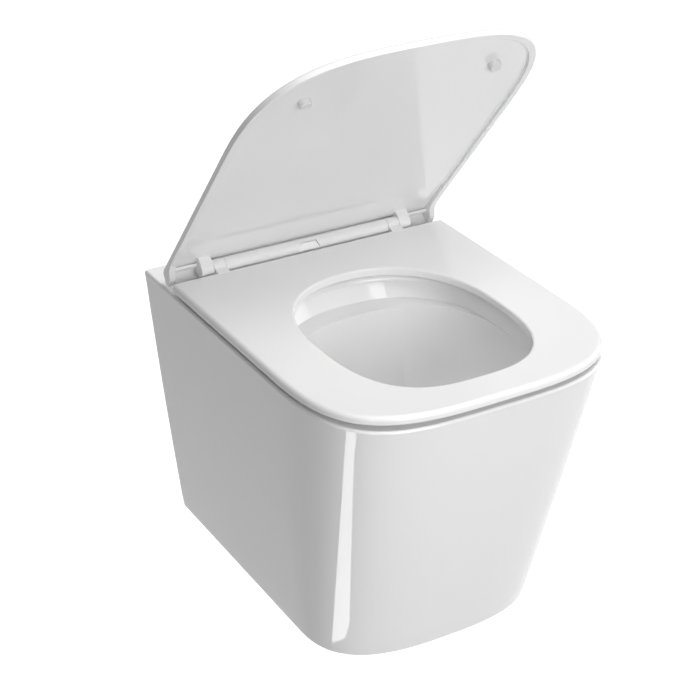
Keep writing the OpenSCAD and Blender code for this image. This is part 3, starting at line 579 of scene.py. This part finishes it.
def in_pair(piece, half, place, paint):
    """Two copies of a piece, half a width to each side of a place, in millimetres."""
    return run_tree(piece, rows_tree, ROWS, {
        "Half width": half * MM, "Place": [v * MM for v in place], "Paint": paint})


def turned(name, profile, axis="Z", sides=64):
    """A turned body: its profile gives radius and distance along the axis, from end to end."""
    spin = [2 * math.pi * k / sides for k in range(sides)]
    rings = []
    for r, h in profile:
        if axis == "Z":
            rings.append([(r * math.cos(a) * MM, r * math.sin(a) * MM, h * MM) for a in spin])
        else:
            rings.append([(r * math.sin(a) * MM, h * MM, r * math.cos(a) * MM) for a in spin])
    return skin(name, rings)


flange_r, flange_t, tube_r, stud_bore_r = 15, 3, 10.7, 6.5
lead, nib, hair = 0.6, 0.1, 0.01
flange_y = -rear_t - flange_t
sleeve = turned("stud_sleeve_pair", [
    (flange_r - lead, flange_y), (flange_r, flange_y + lead), (flange_r, -rear_t),
    (tube_r, -rear_t), (tube_r, -lead), (tube_r - lead, 0)], "Y")
combine(sleeve, [turned("stud_bore", [
    (stud_bore_r + lead, flange_y - nib), (stud_bore_r, flange_y + lead),
    (stud_bore_r, nib - lead), (stud_bore_r + lead, nib)], "Y")])
finish_mesh(in_pair(sleeve, stud_x, (0, 0, 0), nylon))
hand_over(sleeve, (nylon,), "root", "white_plastic", "stud_sleeves")

# The hinge's fixings. Each stainless M6 bolt goes through a slotted disc of moulded acetal and a
# rubber bush in the deck, and its nut pulls the bush wide under the china. All stand in pairs.
steel = surface("stainless", (0.60, 0.61, 0.62), (0.22, 0.34), metallic=1.0, tone=0.06,
                waves=(60.0, 900.0, 900.0), depth=0.00001)
bush_rubber = surface("bush_rubber", (0.045, 0.045, 0.045), (0.6, 0.75), tone=0.15, waves=700.0)
grey_acetal = surface("grey_acetal", (0.42, 0.42, 0.42), (0.35, 0.45), tone=0.04, waves=350.0,
                      depth=0.00002)
disc_t, plate_t = 2.4, 2.4
disc_top = deck_z + disc_t
plate_top = disc_top + plate_t
bush_under, bush_grip_r, bush_neck_r, bush_bore_r = 10, 8.6, 6.8, 3.2
bush_low = under_deck - bush_under
bush = turned("expansion_bush_pair", [
    (bush_grip_r - 2, 0), (bush_grip_r, 0.8), (bush_grip_r, bush_under - 0.8),
    (bush_grip_r - 0.6, bush_under), (bush_neck_r, bush_under), (bush_neck_r, bush_under + deck_t)])
combine(bush, [turned("bush_bore", [(bush_bore_r, -cut), (bush_bore_r, bush_under + deck_t + cut)])])
finish_mesh(in_pair(bush, bolt_x, (0, axis_y, bush_low), bush_rubber))
hand_over(bush, (bush_rubber,), "root", "bush_rubber", "expansion_bushes")

nut_r, nut_h, nut_bore_r = 5.52, 5, 3.1
nut = turned("bush_nut_pair", [(nut_r, 0), (nut_r, nut_h)], sides=6)
combine(nut, [turned("nut_chamfer", [(4.9, 0), (5.6, 0.5), (5.6, nut_h - 0.5), (4.9, nut_h)])], "INTERSECT")
combine(nut, [turned("nut_bore", [(nut_bore_r + lead, -nib), (nut_bore_r, lead),
                                  (nut_bore_r, nut_h - lead), (nut_bore_r + lead, nut_h + nib)])])
finish_mesh(in_pair(nut, bolt_x, (0, axis_y, bush_low - nut_h), steel), sharp=20)
hand_over(nut, (steel,), "root", "steel", "bush_nuts")

washer_r, washer_t, washer_bore_r = 8.9, 1.0, 3.1
washer = turned("bolt_washer_pair", [(washer_r - 0.3, 0), (washer_r, 0.2), (washer_r, washer_t - 0.2),
                                     (washer_r - 0.3, washer_t)])
combine(washer, [turned("washer_bore", [(washer_bore_r, -cut), (washer_bore_r, washer_t + cut)])])
finish_mesh(in_pair(washer, bolt_x, (0, axis_y, plate_top), steel))
hand_over(washer, (steel,), "root", "steel", "bolt_washers")

# The tree for the bolts' threads and the latches' springs: it winds a wire round an axis, lays
# it down and joins it to the piece.
coil_tree, COIL = piece_tree(
    "coil", ("Radius", NUMBER, 0.003), ("Wire", NUMBER, 0.0004), ("Turns", NUMBER, 10.0),
    ("Length", NUMBER, 0.01), ("Start", VECTOR, (0, 0, 0)), ("Laid", VECTOR, (0, 0, 0)),
    ("Points a turn", "NodeSocketInt", 24), ("Wire sides", "NodeSocketInt", 4),
    ("Paint", "NodeSocketMaterial", None))
given, coil, wire, sweep, lay, join = new_nodes(
    coil_tree, "NodeGroupInput", "GeometryNodeCurveSpiral", "GeometryNodeCurvePrimitiveCircle",
    "GeometryNodeCurveToMesh", "GeometryNodeTransform", "GeometryNodeJoinGeometry")
sweep.inputs["Fill Caps"].default_value = True
for label, node, socket in (
        ("Points a turn", coil, "Resolution"), ("Turns", coil, "Rotations"), ("Length", coil, "Height"),
        ("Radius", coil, "Start Radius"), ("Radius", coil, "End Radius"), ("Wire", wire, "Radius"),
        ("Wire sides", wire, "Resolution"), ("Start", lay, "Translation"), ("Laid", lay, "Rotation")):
    coil_tree.links.new(given.outputs[label], node.inputs[socket])
wire_up(coil_tree, (coil.outputs[0], sweep.inputs["Curve"]),
        (wire.outputs[0], sweep.inputs["Profile Curve"]), (sweep.outputs[0], lay.inputs["Geometry"]),
        (given.outputs["Geometry"], join.inputs[0]), (lay.outputs[0], join.inputs[0]))
end_tree(coil_tree, given, join.outputs[0])

bolt_over, bolt_r, core_r, pitch, thread_len = 3, 3.0, 2.6, 1.0, 22
head_r, head_h, socket_r, socket_deep = 5.7, 1.5, 2.5, 0.9
bolt_low = bush_low - nut_h - bolt_over
head_low = plate_top + washer_t
bolt = turned("hinge_bolt_pair", [
    (core_r - 0.5, bolt_low), (core_r, bolt_low + 0.5), (core_r, bolt_low + thread_len),
    (bolt_r, bolt_low + thread_len + 0.4), (bolt_r, head_low - hair), (head_r, head_low),
    (head_r, head_low + 0.7), (head_r - 0.5, head_low + 1.3), (head_r - 1.5, head_low + head_h)])
combine(bolt, [turned("socket", [(socket_r, head_low + head_h - socket_deep),
                                 (socket_r, head_low + head_h + cut)], sides=6)])
ridge_out, ridge_r, ridge_from, ridge_len = 0.05, 0.34, 0.8, thread_len - 1.5
run_tree(bolt, coil_tree, COIL, {
    "Radius": (core_r + ridge_out) * MM, "Wire": ridge_r * MM, "Turns": ridge_len / pitch,
    "Length": ridge_len * MM, "Start": [0, 0, (bolt_low + ridge_from) * MM], "Paint": steel})
finish_mesh(in_pair(bolt, bolt_x, (0, axis_y, 0), steel), sharp=25)
hand_over(bolt, (steel,), "root", "steel", "hinge_bolts")


def round_ended(reach, r, points, y=0.0):
    """An outline with half-round ends, whose centres lie this reach to each side."""
    return [(side * reach + r * math.cos(a), r * math.sin(a) + y) for side, first in ((1, -90), (-1, 90))
            for a in np.radians(np.linspace(first, first + 180, points))]


disc_r, slot_half, key_wall, key_low, side_travel, depth_travel = 16, 3.3, 2, 0.4, 2, 4
key_x, key_y = slot_half + side_travel + key_wall, slot_half + key_wall
disc = turned("base_disc_pair", [(disc_r - 0.5, 0), (disc_r, 0.5), (disc_r, disc_t - 0.8),
                                 (disc_r - 0.8, disc_t)], sides=96)
combine(disc, [block("key", (-key_x, -key_y, key_low), (key_x, key_y, disc_t + plate_t - nib))], "UNION")
slot = round_ended(side_travel, slot_half, 16)
combine(disc, [skin("slot", [level(-cut, slot), level(disc_t + plate_t + cut, slot)])])
finish_mesh(in_pair(disc, bolt_x, (0, axis_y, deck_z), grey_acetal))
hand_over(disc, (grey_acetal,), "discs", "grey_plastic", "base_discs")

# The hinge plate. A strip of stainless steel, punched with two windows that slide on the discs'
# keys, with two turned mushroom posts riveted on for the latches to grip.
plate_half, plate_depth, plate_edge = bolt_x + 18, 24, 0.3
window_x, window_y = key_x + nib, key_y + depth_travel + nib
post_x, post_r, neck_r, latch_h, latch_fit, post_head, chamfer = 44, 3, 2, 4.8, 0.2, 1.8, 0.8
neck_low, neck_high = axis_z - latch_h / 2 - latch_fit, axis_z + latch_h / 2 + latch_fit
end_r = plate_depth / 2
whole, eased = [round_ended(plate_half - end_r, end_r + grow, 33, axis_y) for grow in (0, -plate_edge)]
plate = skin("steel_plate", [level(disc_top, eased), level(disc_top + plate_edge, whole),
                             level(plate_top - plate_edge, whole), level(plate_top, eased)])
for side in (-1, 1):
    combine(plate, [block("window", (side * bolt_x - window_x, axis_y - window_y, disc_top - cut),
                          (side * bolt_x + window_x, axis_y + window_y, plate_top + cut))])
    post = turned("post", [
        (post_r, plate_top - 0.5), (post_r, neck_low), (neck_r, neck_low + hair), (neck_r, neck_high),
        (post_r, neck_high + hair), (post_r, neck_high + post_head - chamfer),
        (post_r - chamfer, neck_high + post_head)])
    post.data.transform(Matrix.Translation(Vector((side * post_x, axis_y, 0)) * MM))
    combine(plate, [post], "UNION")
finish_mesh(plate)
hand_over(plate, (steel,), "hinge", "steel", "hinge_plate")

# The hinge bar. A barrel moulded in white thermoset, which hides both dampers and the latches.
# Its front has a trapezoid window for the button, with a thin dark gap all round.
thermoset = surface("thermoset", (0.92, 0.92, 0.92), (0.09, 0.13), tone=0.01, waves=30.0, depth=0.00002)
bar_half, bar_r, bar_front = 109, 9.2, -12
cavity_x, cavity_y, cavity_top = 59.5, 4.6, 4.7
well_x, well_front, well_rear, well_half = 10.6, 6.4, 5.8, 2.9
damper_in, damper_hole_r = 62.7, 7.03
button_half, button_top_half, button_low, button_high, button_back = 14.2, 9.6, -1.5, 6.8, -5
press, window_gap, window_room = 3.5, 0.6, 0.3


def button_shape(name, grow, y0, y1):
    """The key's trapezoid, between two distances behind the axis."""
    corners = [(-button_half - grow, button_low - grow), (button_half + grow, button_low - grow),
               (button_top_half + grow, button_high + grow), (-button_top_half - grow, button_high + grow)]
    return skin(name, [[(x * MM, (axis_y + y) * MM, (axis_z + h) * MM) for x, h in corners]
                       for y in (y0, y1)])


bar = rod("hinge_barrel", (-bar_half, axis_y, axis_z), (bar_half, axis_y, axis_z), bar_r,
          sides=128, bevel=0.5)
combine(bar, [button_shape("window", window_gap, bar_front, button_back + press + window_room),
              block("latch_space", (-cavity_x, axis_y - cavity_y, deck_z),
                    (cavity_x, axis_y + cavity_y, axis_z + cavity_top)),
              block("wedge_space", (-well_x, axis_y - well_front, axis_z - well_half),
                    (well_x, axis_y + well_rear, axis_z + well_half)),
              rod("left_bore", (-bar_half - cut, axis_y, axis_z), (-damper_in, axis_y, axis_z),
                  damper_hole_r),
              rod("right_bore", (damper_in, axis_y, axis_z), (bar_half + cut, axis_y, axis_z),
                  damper_hole_r)])
finish_mesh(bar)
hand_over(bar, (thermoset,), "hinge", "seat_plastic", "hinge_bar")

# The release button. A key moulded in glossy white plastic, with sloping sides and a flat face;
# its wedge reaches back between the latches and drives them apart when it is pressed.
gloss_white = surface("gloss_white", (0.97, 0.97, 0.97), (0.06, 0.1), tone=0.01, waves=60.0, depth=0.00002)
button = button_shape("release_key", 0, bar_front, button_back)
proud, trim_half, trim_front, flat_low, flat_high = 0.25, 20, 14, 9.3, 6.4
combine(button, [rod("trim", (-trim_half, axis_y, axis_z), (trim_half, axis_y, axis_z), bar_r + proud,
                     sides=128)], "INTERSECT")


def side_plate(name, x0, x1, profile):
    """A plate square to the hinge, from a profile of points forward of the axis and above it."""
    return skin(name, [[(x * MM, (axis_y - s) * MM, (axis_z + h) * MM) for s, h in profile]
                       for x in (x0, x1)])


combine(button, [side_plate("face", -trim_half, trim_half, [
    (trim_front, button_low - cut), (flat_low, button_low - cut), (flat_low, button_low),
    (flat_high, button_high), (flat_high, button_high + cut), (trim_front, button_high + cut)])])
wedge_half, wedge_tip, wedge_rear = 4, 1, button_back - hair
slope = wedge_half + wedge_tip - button_back
wedge = [(-slope, axis_y + wedge_rear), (slope, axis_y + wedge_rear),
         (wedge_half, axis_y + wedge_tip), (-wedge_half, axis_y + wedge_tip)]
combine(button, [skin("wedge", [level(axis_z + h, wedge) for h in (-latch_h / 2, latch_h / 2)])], "UNION")
finish_mesh(button)
hand_over(button, (gloss_white,), "button", "button_plastic", "release_button")

# The latches' springs. Each is wound from stainless wire and sits between its latch and the end
# of the bar's cavity, and it shortens as its latch moves out.
spring_from, spring_to, spring_r, wire_r, spring_turns = 50.9, 59.1, 1.8, 0.3, 5.0
spring_len = spring_to - spring_from
for side, name in ((-1, "left"), (1, "right")):
    spring = bpy.data.objects.new("coil_" + name, bpy.data.meshes.new("coil_" + name))
    bpy.context.scene.collection.objects.link(spring)
    start = min(side * spring_from, side * spring_to)
    run_tree(spring, coil_tree, COIL, {
        "Radius": spring_r * MM, "Wire": wire_r * MM, "Turns": spring_turns, "Length": spring_len * MM,
        "Start": [start * MM, axis_y * MM, axis_z * MM], "Laid": [0, math.radians(90), 0],
        "Points a turn": 32, "Wire sides": 10, "Paint": steel})
    finish_mesh(spring, sharp=60)
    hand_over(spring, (steel,), "hinge", "steel", "spring_" + name)
    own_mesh(spring)

# The parts inside the bar. The latches, the cap that keeps them in, the dampers with their
# shafts and the end bushings keep the shapes that the model has, in their own finishes.
dark_acetal = surface("dark_acetal", (0.035, 0.035, 0.038), (0.35, 0.5), tone=0.1, waves=300.0,
                      depth=0.00002)
for name, paint in (("latch_keeper", nylon), ("latch_left", steel), ("latch_right", steel),
                    ("end_bushings", dark_acetal), ("seat_damper", dark_acetal),
                    ("cover_damper", dark_acetal), ("seat_shaft", steel), ("cover_shaft", steel)):
    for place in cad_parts[name].material_slots:
        place.material = paint

# The seat. A slim ring pressed in white thermoset, 10 mm thick, with its edges rounded. Two
# knuckles at its rear turn on the dampers' shafts at the ends of the hinge bar.
seat_over, seat_gap, seat_t, seat_back = 2, 6.5, 10, 12.6
seat_w, seat_front, seat_start, seat_power = pan_w + 2 * seat_over, pan_len + seat_over, 304, 3.4
seat_rear, seat_low = seat_back - axis_y, deck_z + seat_gap
seat_top = seat_low + seat_t
hole = dict(half=113, rear=155.3, front=434.2, wide=290, power_r=2.17, power_f=2.87)
low_round, top_round, hole_round, seat_corner = 2, 5, 2.4, 4
side_gap, knuckle_len, shaft_hole_r = 0.3, 15.5, 4.06
knuckle_in, knuckle_out = bar_half + side_gap, bar_half + knuckle_len


def seat_edge(grow):
    return rounded_front(seat_w, seat_front, seat_start, seat_power, rear=seat_rear - grow, grow=grow,
                         rear_round=max(seat_corner + grow, 1))


def hole_edge(grow, rim):
    """The opening's edge, with a point in the direction of each point of the rim."""
    dense = egg(**hole, grow=grow, count=3000)
    centre = np.array([0, -hole["wide"]])
    known = np.arctan2(*(dense - centre).T)
    want = np.arctan2(*(rim - centre).T)
    r = np.interp(want, known, np.linalg.norm(dense - centre, axis=1), period=2 * math.pi)
    return centre + np.stack([r * np.sin(want), r * np.cos(want)], 1)


rim = seat_edge(0)
rings = [level(seat_low + low_round * (1 - math.cos(a)), seat_edge(-low_round * (1 - math.sin(a))))
         for a in quarter_turn]
rings += [level(seat_top - top_round * (1 - math.sin(a)), seat_edge(-top_round * (1 - math.cos(a))))
          for a in quarter_turn]
rings += [level(seat_top, seat_edge(-top_round) * (1 - share) + hole_edge(hole_round, rim) * share)
          for share in (0.02, 0.5, 0.98)]
rings += [level(seat_top - hole_round * (1 - math.sin(a)), hole_edge(hole_round * (1 - math.cos(a)), rim))
          for a in quarter_turn[::-1]]
rings += [level(seat_low + low_round * (1 - math.cos(a)), hole_edge(low_round * (1 - math.sin(a)), rim))
          for a in quarter_turn[::-1]]
rings.append(level(seat_low, seat_edge(-low_round) * 0.5 + hole_edge(low_round, rim) * 0.5))
seat = skin("seat_ring", rings, capped=False)
web_reach, web_drop, web_in = 20.6, axis_z - seat_low, 0.3
web = [(0, 0.1 - bar_r), (web_reach, 0.6 - web_drop), (web_reach, seat_t - 0.4 - web_drop),
       (8.65, 2.5), (0, 6)]
for side in (-1, 1):
    x0, x1 = sorted((side * knuckle_in, side * knuckle_out))
    combine(seat, [rod("knuckle", (x0, axis_y, axis_z), (x1, axis_y, axis_z), bar_r, bevel=0.4),
                   side_plate("web", x0 + web_in, x1 - web_in, web)], "UNION")
    combine(seat, [rod("shaft_hole", (x0 - cut, axis_y, axis_z), (x1 + cut, axis_y, axis_z), shaft_hole_r)])
finish_mesh(seat)
hand_over(seat, (thermoset,), "seat", "seat_plastic", "seat")

# The cover. A thin shell of the same thermoset with a low rim round its underside. Behind the
# hinge it curls down over the bar's ends, where two ears carry it on the damper shafts.
cover_in, cover_nose_in = 3, 2
cover_w, cover_front, cover_start, cover_power = seat_w - 2 * cover_in, seat_front - cover_nose_in, 298, 3.2
cover_top, cover_t, rim_rise, cover_wall = 15.6, 5, 6.5, 7.5
band_len, band_deep, recess_over = 60, 1, 6.5
edge_round, rim_round, lip_round, fillet, cover_corner = 4, 1, 0.8, 2, 3
tail_r, tail_skin, tail_from = 15.5, 3.6, -5
tail_angle, tail_end = math.radians(160), math.radians(197)
ear_len, ear_skin, flange_in, flange_reach = 16, 1.5, 3.0, 18
ear_in, ear_out = knuckle_out + side_gap, knuckle_out + ear_len
cover_open = math.radians(50.6)

# The line of the curl: a bend from the flat top, then an arc round the axis.
tail_s = tail_r * np.array([math.cos(tail_angle), math.sin(tail_angle)])
tail_p = np.array([tail_from, cover_top])
tail_q = np.array([tail_s[0] + (cover_top - tail_s[1]) * math.tan(math.pi - tail_angle), cover_top])
t = np.linspace(0, 1, 400)[:, None]
bend = (1 - t) ** 2 * tail_p + 2 * t * (1 - t) * tail_q + t ** 2 * tail_s
a = np.linspace(tail_angle, tail_end, 300)[1:]
tail_line = np.concatenate([bend, tail_r * np.stack([np.cos(a), np.sin(a)], 1)])
tail_run = np.concatenate([[0], np.cumsum(np.linalg.norm(np.diff(tail_line, axis=0), axis=1))])
tail_slope = np.gradient(tail_line, axis=0)
tail_slope /= np.linalg.norm(tail_slope, axis=1)[:, None]
tail_y = axis_y - tail_from
flat_rear = tail_y + tail_run[-1]
top, under, rim_z = axis_z + cover_top, axis_z + cover_top - cover_t, axis_z + rim_rise


def cover_edge(grow, rear=-flat_rear):
    return rounded_front(cover_w, cover_front, cover_start, cover_power, rear=rear - grow, grow=grow,
                         rear_round=max(cover_corner + grow, 0.5))


rings = [level(rim_z + rim_round * (1 - math.cos(a)), cover_edge(-rim_round * (1 - math.sin(a))))
         for a in quarter_turn]
rings += [level(top - edge_round * (1 - math.sin(a)), cover_edge(-edge_round * (1 - math.cos(a))))
          for a in quarter_turn]
cover = skin("cover_shell", rings)
recess_rear = -axis_y - recess_over
rings = [level(rim_z - cut, cover_edge(lip_round - cover_wall, recess_rear))]
rings += [level(rim_z + lip_round * (1 - math.cos(a)),
                cover_edge(lip_round * (1 - math.sin(a)) - cover_wall, recess_rear)) for a in quarter_turn]
rings += [level(under - fillet * (1 - math.sin(a)),
                cover_edge(-cover_wall - fillet * (1 - math.cos(a)), recess_rear)) for a in quarter_turn]
wall_x = cover_w / 2 - cover_wall
# Places beyond the cover: behind it, under it, over it and to its side.
far_y, far_low, far_high, far_x = 40, 60, 140, 190
combine(cover, [skin("recess", rings),
                block("band", (-wall_x, axis_y - band_len, under - band_deep), (wall_x, far_y, under + cut)),
                block("middle", (-knuckle_in, tail_y, far_low), (knuckle_in, far_y, far_high)),
                block("under_tail", (-far_x, tail_y, far_low), (far_x, far_y, top - tail_skin))])

# The flat tail is cut across at each millimetre and bent along the line.
shape = bmesh.new()
shape.from_mesh(cover.data)
for k in range(int(tail_run[-1]) + 1):
    bmesh.ops.bisect_plane(shape, geom=shape.verts[:] + shape.edges[:] + shape.faces[:],
                           plane_co=(0, (tail_y + k + hair) * MM, 0), plane_no=(0, 1, 0), dist=0.000001)
for v in shape.verts:
    u = v.co.y / MM - tail_y
    if u > 0:
        s = [np.interp(u, tail_run, tail_line[:, k]) for k in range(2)]
        d = [np.interp(u, tail_run, tail_slope[:, k]) for k in range(2)]
        deep = cover_top - (v.co.z / MM - axis_z)
        v.co.y = (axis_y - (s[0] - deep * d[1])) * MM
        v.co.z = (axis_z + s[1] + deep * d[0]) * MM
shape.to_mesh(cover.data)
shape.free()

# A flange closes each side of the curl, and an ear stands inside it.
pick = np.linspace(0, len(tail_line) - 1, 30).astype(int)
curl = [(tail_line[i][0] - flange_in * tail_slope[i][1], tail_line[i][1] + flange_in * tail_slope[i][0])
        for i in pick]
flange = [(flange_reach, cover_top - 4)] + curl
flange += [(-11, -5.1), (0.5, -3.1), (9, rim_rise - 2), (flange_reach, rim_rise)]
web = [(-10.5, 5), (-8, 11.6), (10.4, 11.6), (10.4, 3), (bar_r - 0.1, 0), (0.1 - bar_r, 0)]
for side in (-1, 1):
    x0, x1 = sorted((side * wall_x, side * (cover_w / 2 - 0.1)))
    combine(cover, [side_plate("flange", x0, x1, flange)], "UNION")
    x0, x1 = sorted((side * ear_in, side * ear_out))
    combine(cover, [rod("ear", (x0, axis_y, axis_z), (x1, axis_y, axis_z), bar_r, bevel=0.4),
                    side_plate("web", x0 + web_in, x1 - web_in, web)], "UNION")
    combine(cover, [rod("shaft_hole", (side * (ear_in - cut), axis_y, axis_z),
                        (side * (ear_out - ear_skin), axis_y, axis_z), shaft_hole_r)])
open_up = Matrix.Translation(Vector((0, axis_y, axis_z)) * MM) @ \
    Matrix.Rotation(-cover_open, 4, "X") @ Matrix.Translation(Vector((0, -axis_y, -axis_z)) * MM)
cover.data.transform(open_up)
finish_mesh(cover)
hand_over(cover, (thermoset,), "cover", "seat_plastic", "cover", "cover_ends")

# The buffers. Soft white silicone buttons with a stem pressed into a hole: two under the cover
# that land on the seat, and four under the seat that land on the deck.
silicone = surface("silicone", (0.80, 0.80, 0.80), (0.4, 0.5), waves=300.0, depth=0.00002)
pad_t, pad_r, pad_x, pad_s, stem_r = 8.02, 7, 114.5, 338, 2.5
cover_pads = turned("cover_buffer_pair", [
    (pad_r - 2.6, 0.5), (pad_r - 2.2, 0), (pad_r - 0.9, 0), (pad_r, 0.9),
    (pad_r, pad_t), (stem_r, pad_t), (stem_r, pad_t + 2.4), (stem_r - 0.3, pad_t + 2.8)])
finish_mesh(in_pair(cover_pads, pad_x, (0, axis_y - pad_s, under - pad_t), silicone))
cover_pads.data.transform(open_up)
hand_over(cover_pads, (silicone,), "cover", "pad_rubber", "cover_buffers")

seat_pad_r, seat_stem_r = 9, 3
pad_side_rear, pad_rear, pad_side_front, pad_front = 30, 60, 72, 42
seat_pads = turned("seat_buffer_set", [
    (seat_pad_r - 3, 0.5), (seat_pad_r - 2.5, 0), (seat_pad_r - 1, 0), (seat_pad_r, 1),
    (seat_pad_r, seat_gap), (seat_stem_r, seat_gap), (seat_stem_r, seat_gap + 4.4),
    (seat_stem_r - 0.4, seat_gap + 4.8)])
run_tree(seat_pads, rows_tree, ROWS, {
    "Half width": (pan_w / 2 - pad_side_rear) * MM,
    "Place": [0, (-seat_rear - pad_rear) * MM, deck_z * MM],
    "Half width 2": (pan_w / 2 - pad_side_front) * MM,
    "Place 2": [0, (pad_front - pan_len) * MM, deck_z * MM],
    "Second row": True, "Paint": silicone})
finish_mesh(seat_pads)
hand_over(seat_pads, (silicone,), "seat", "pad_rubber", "seat_buffers")
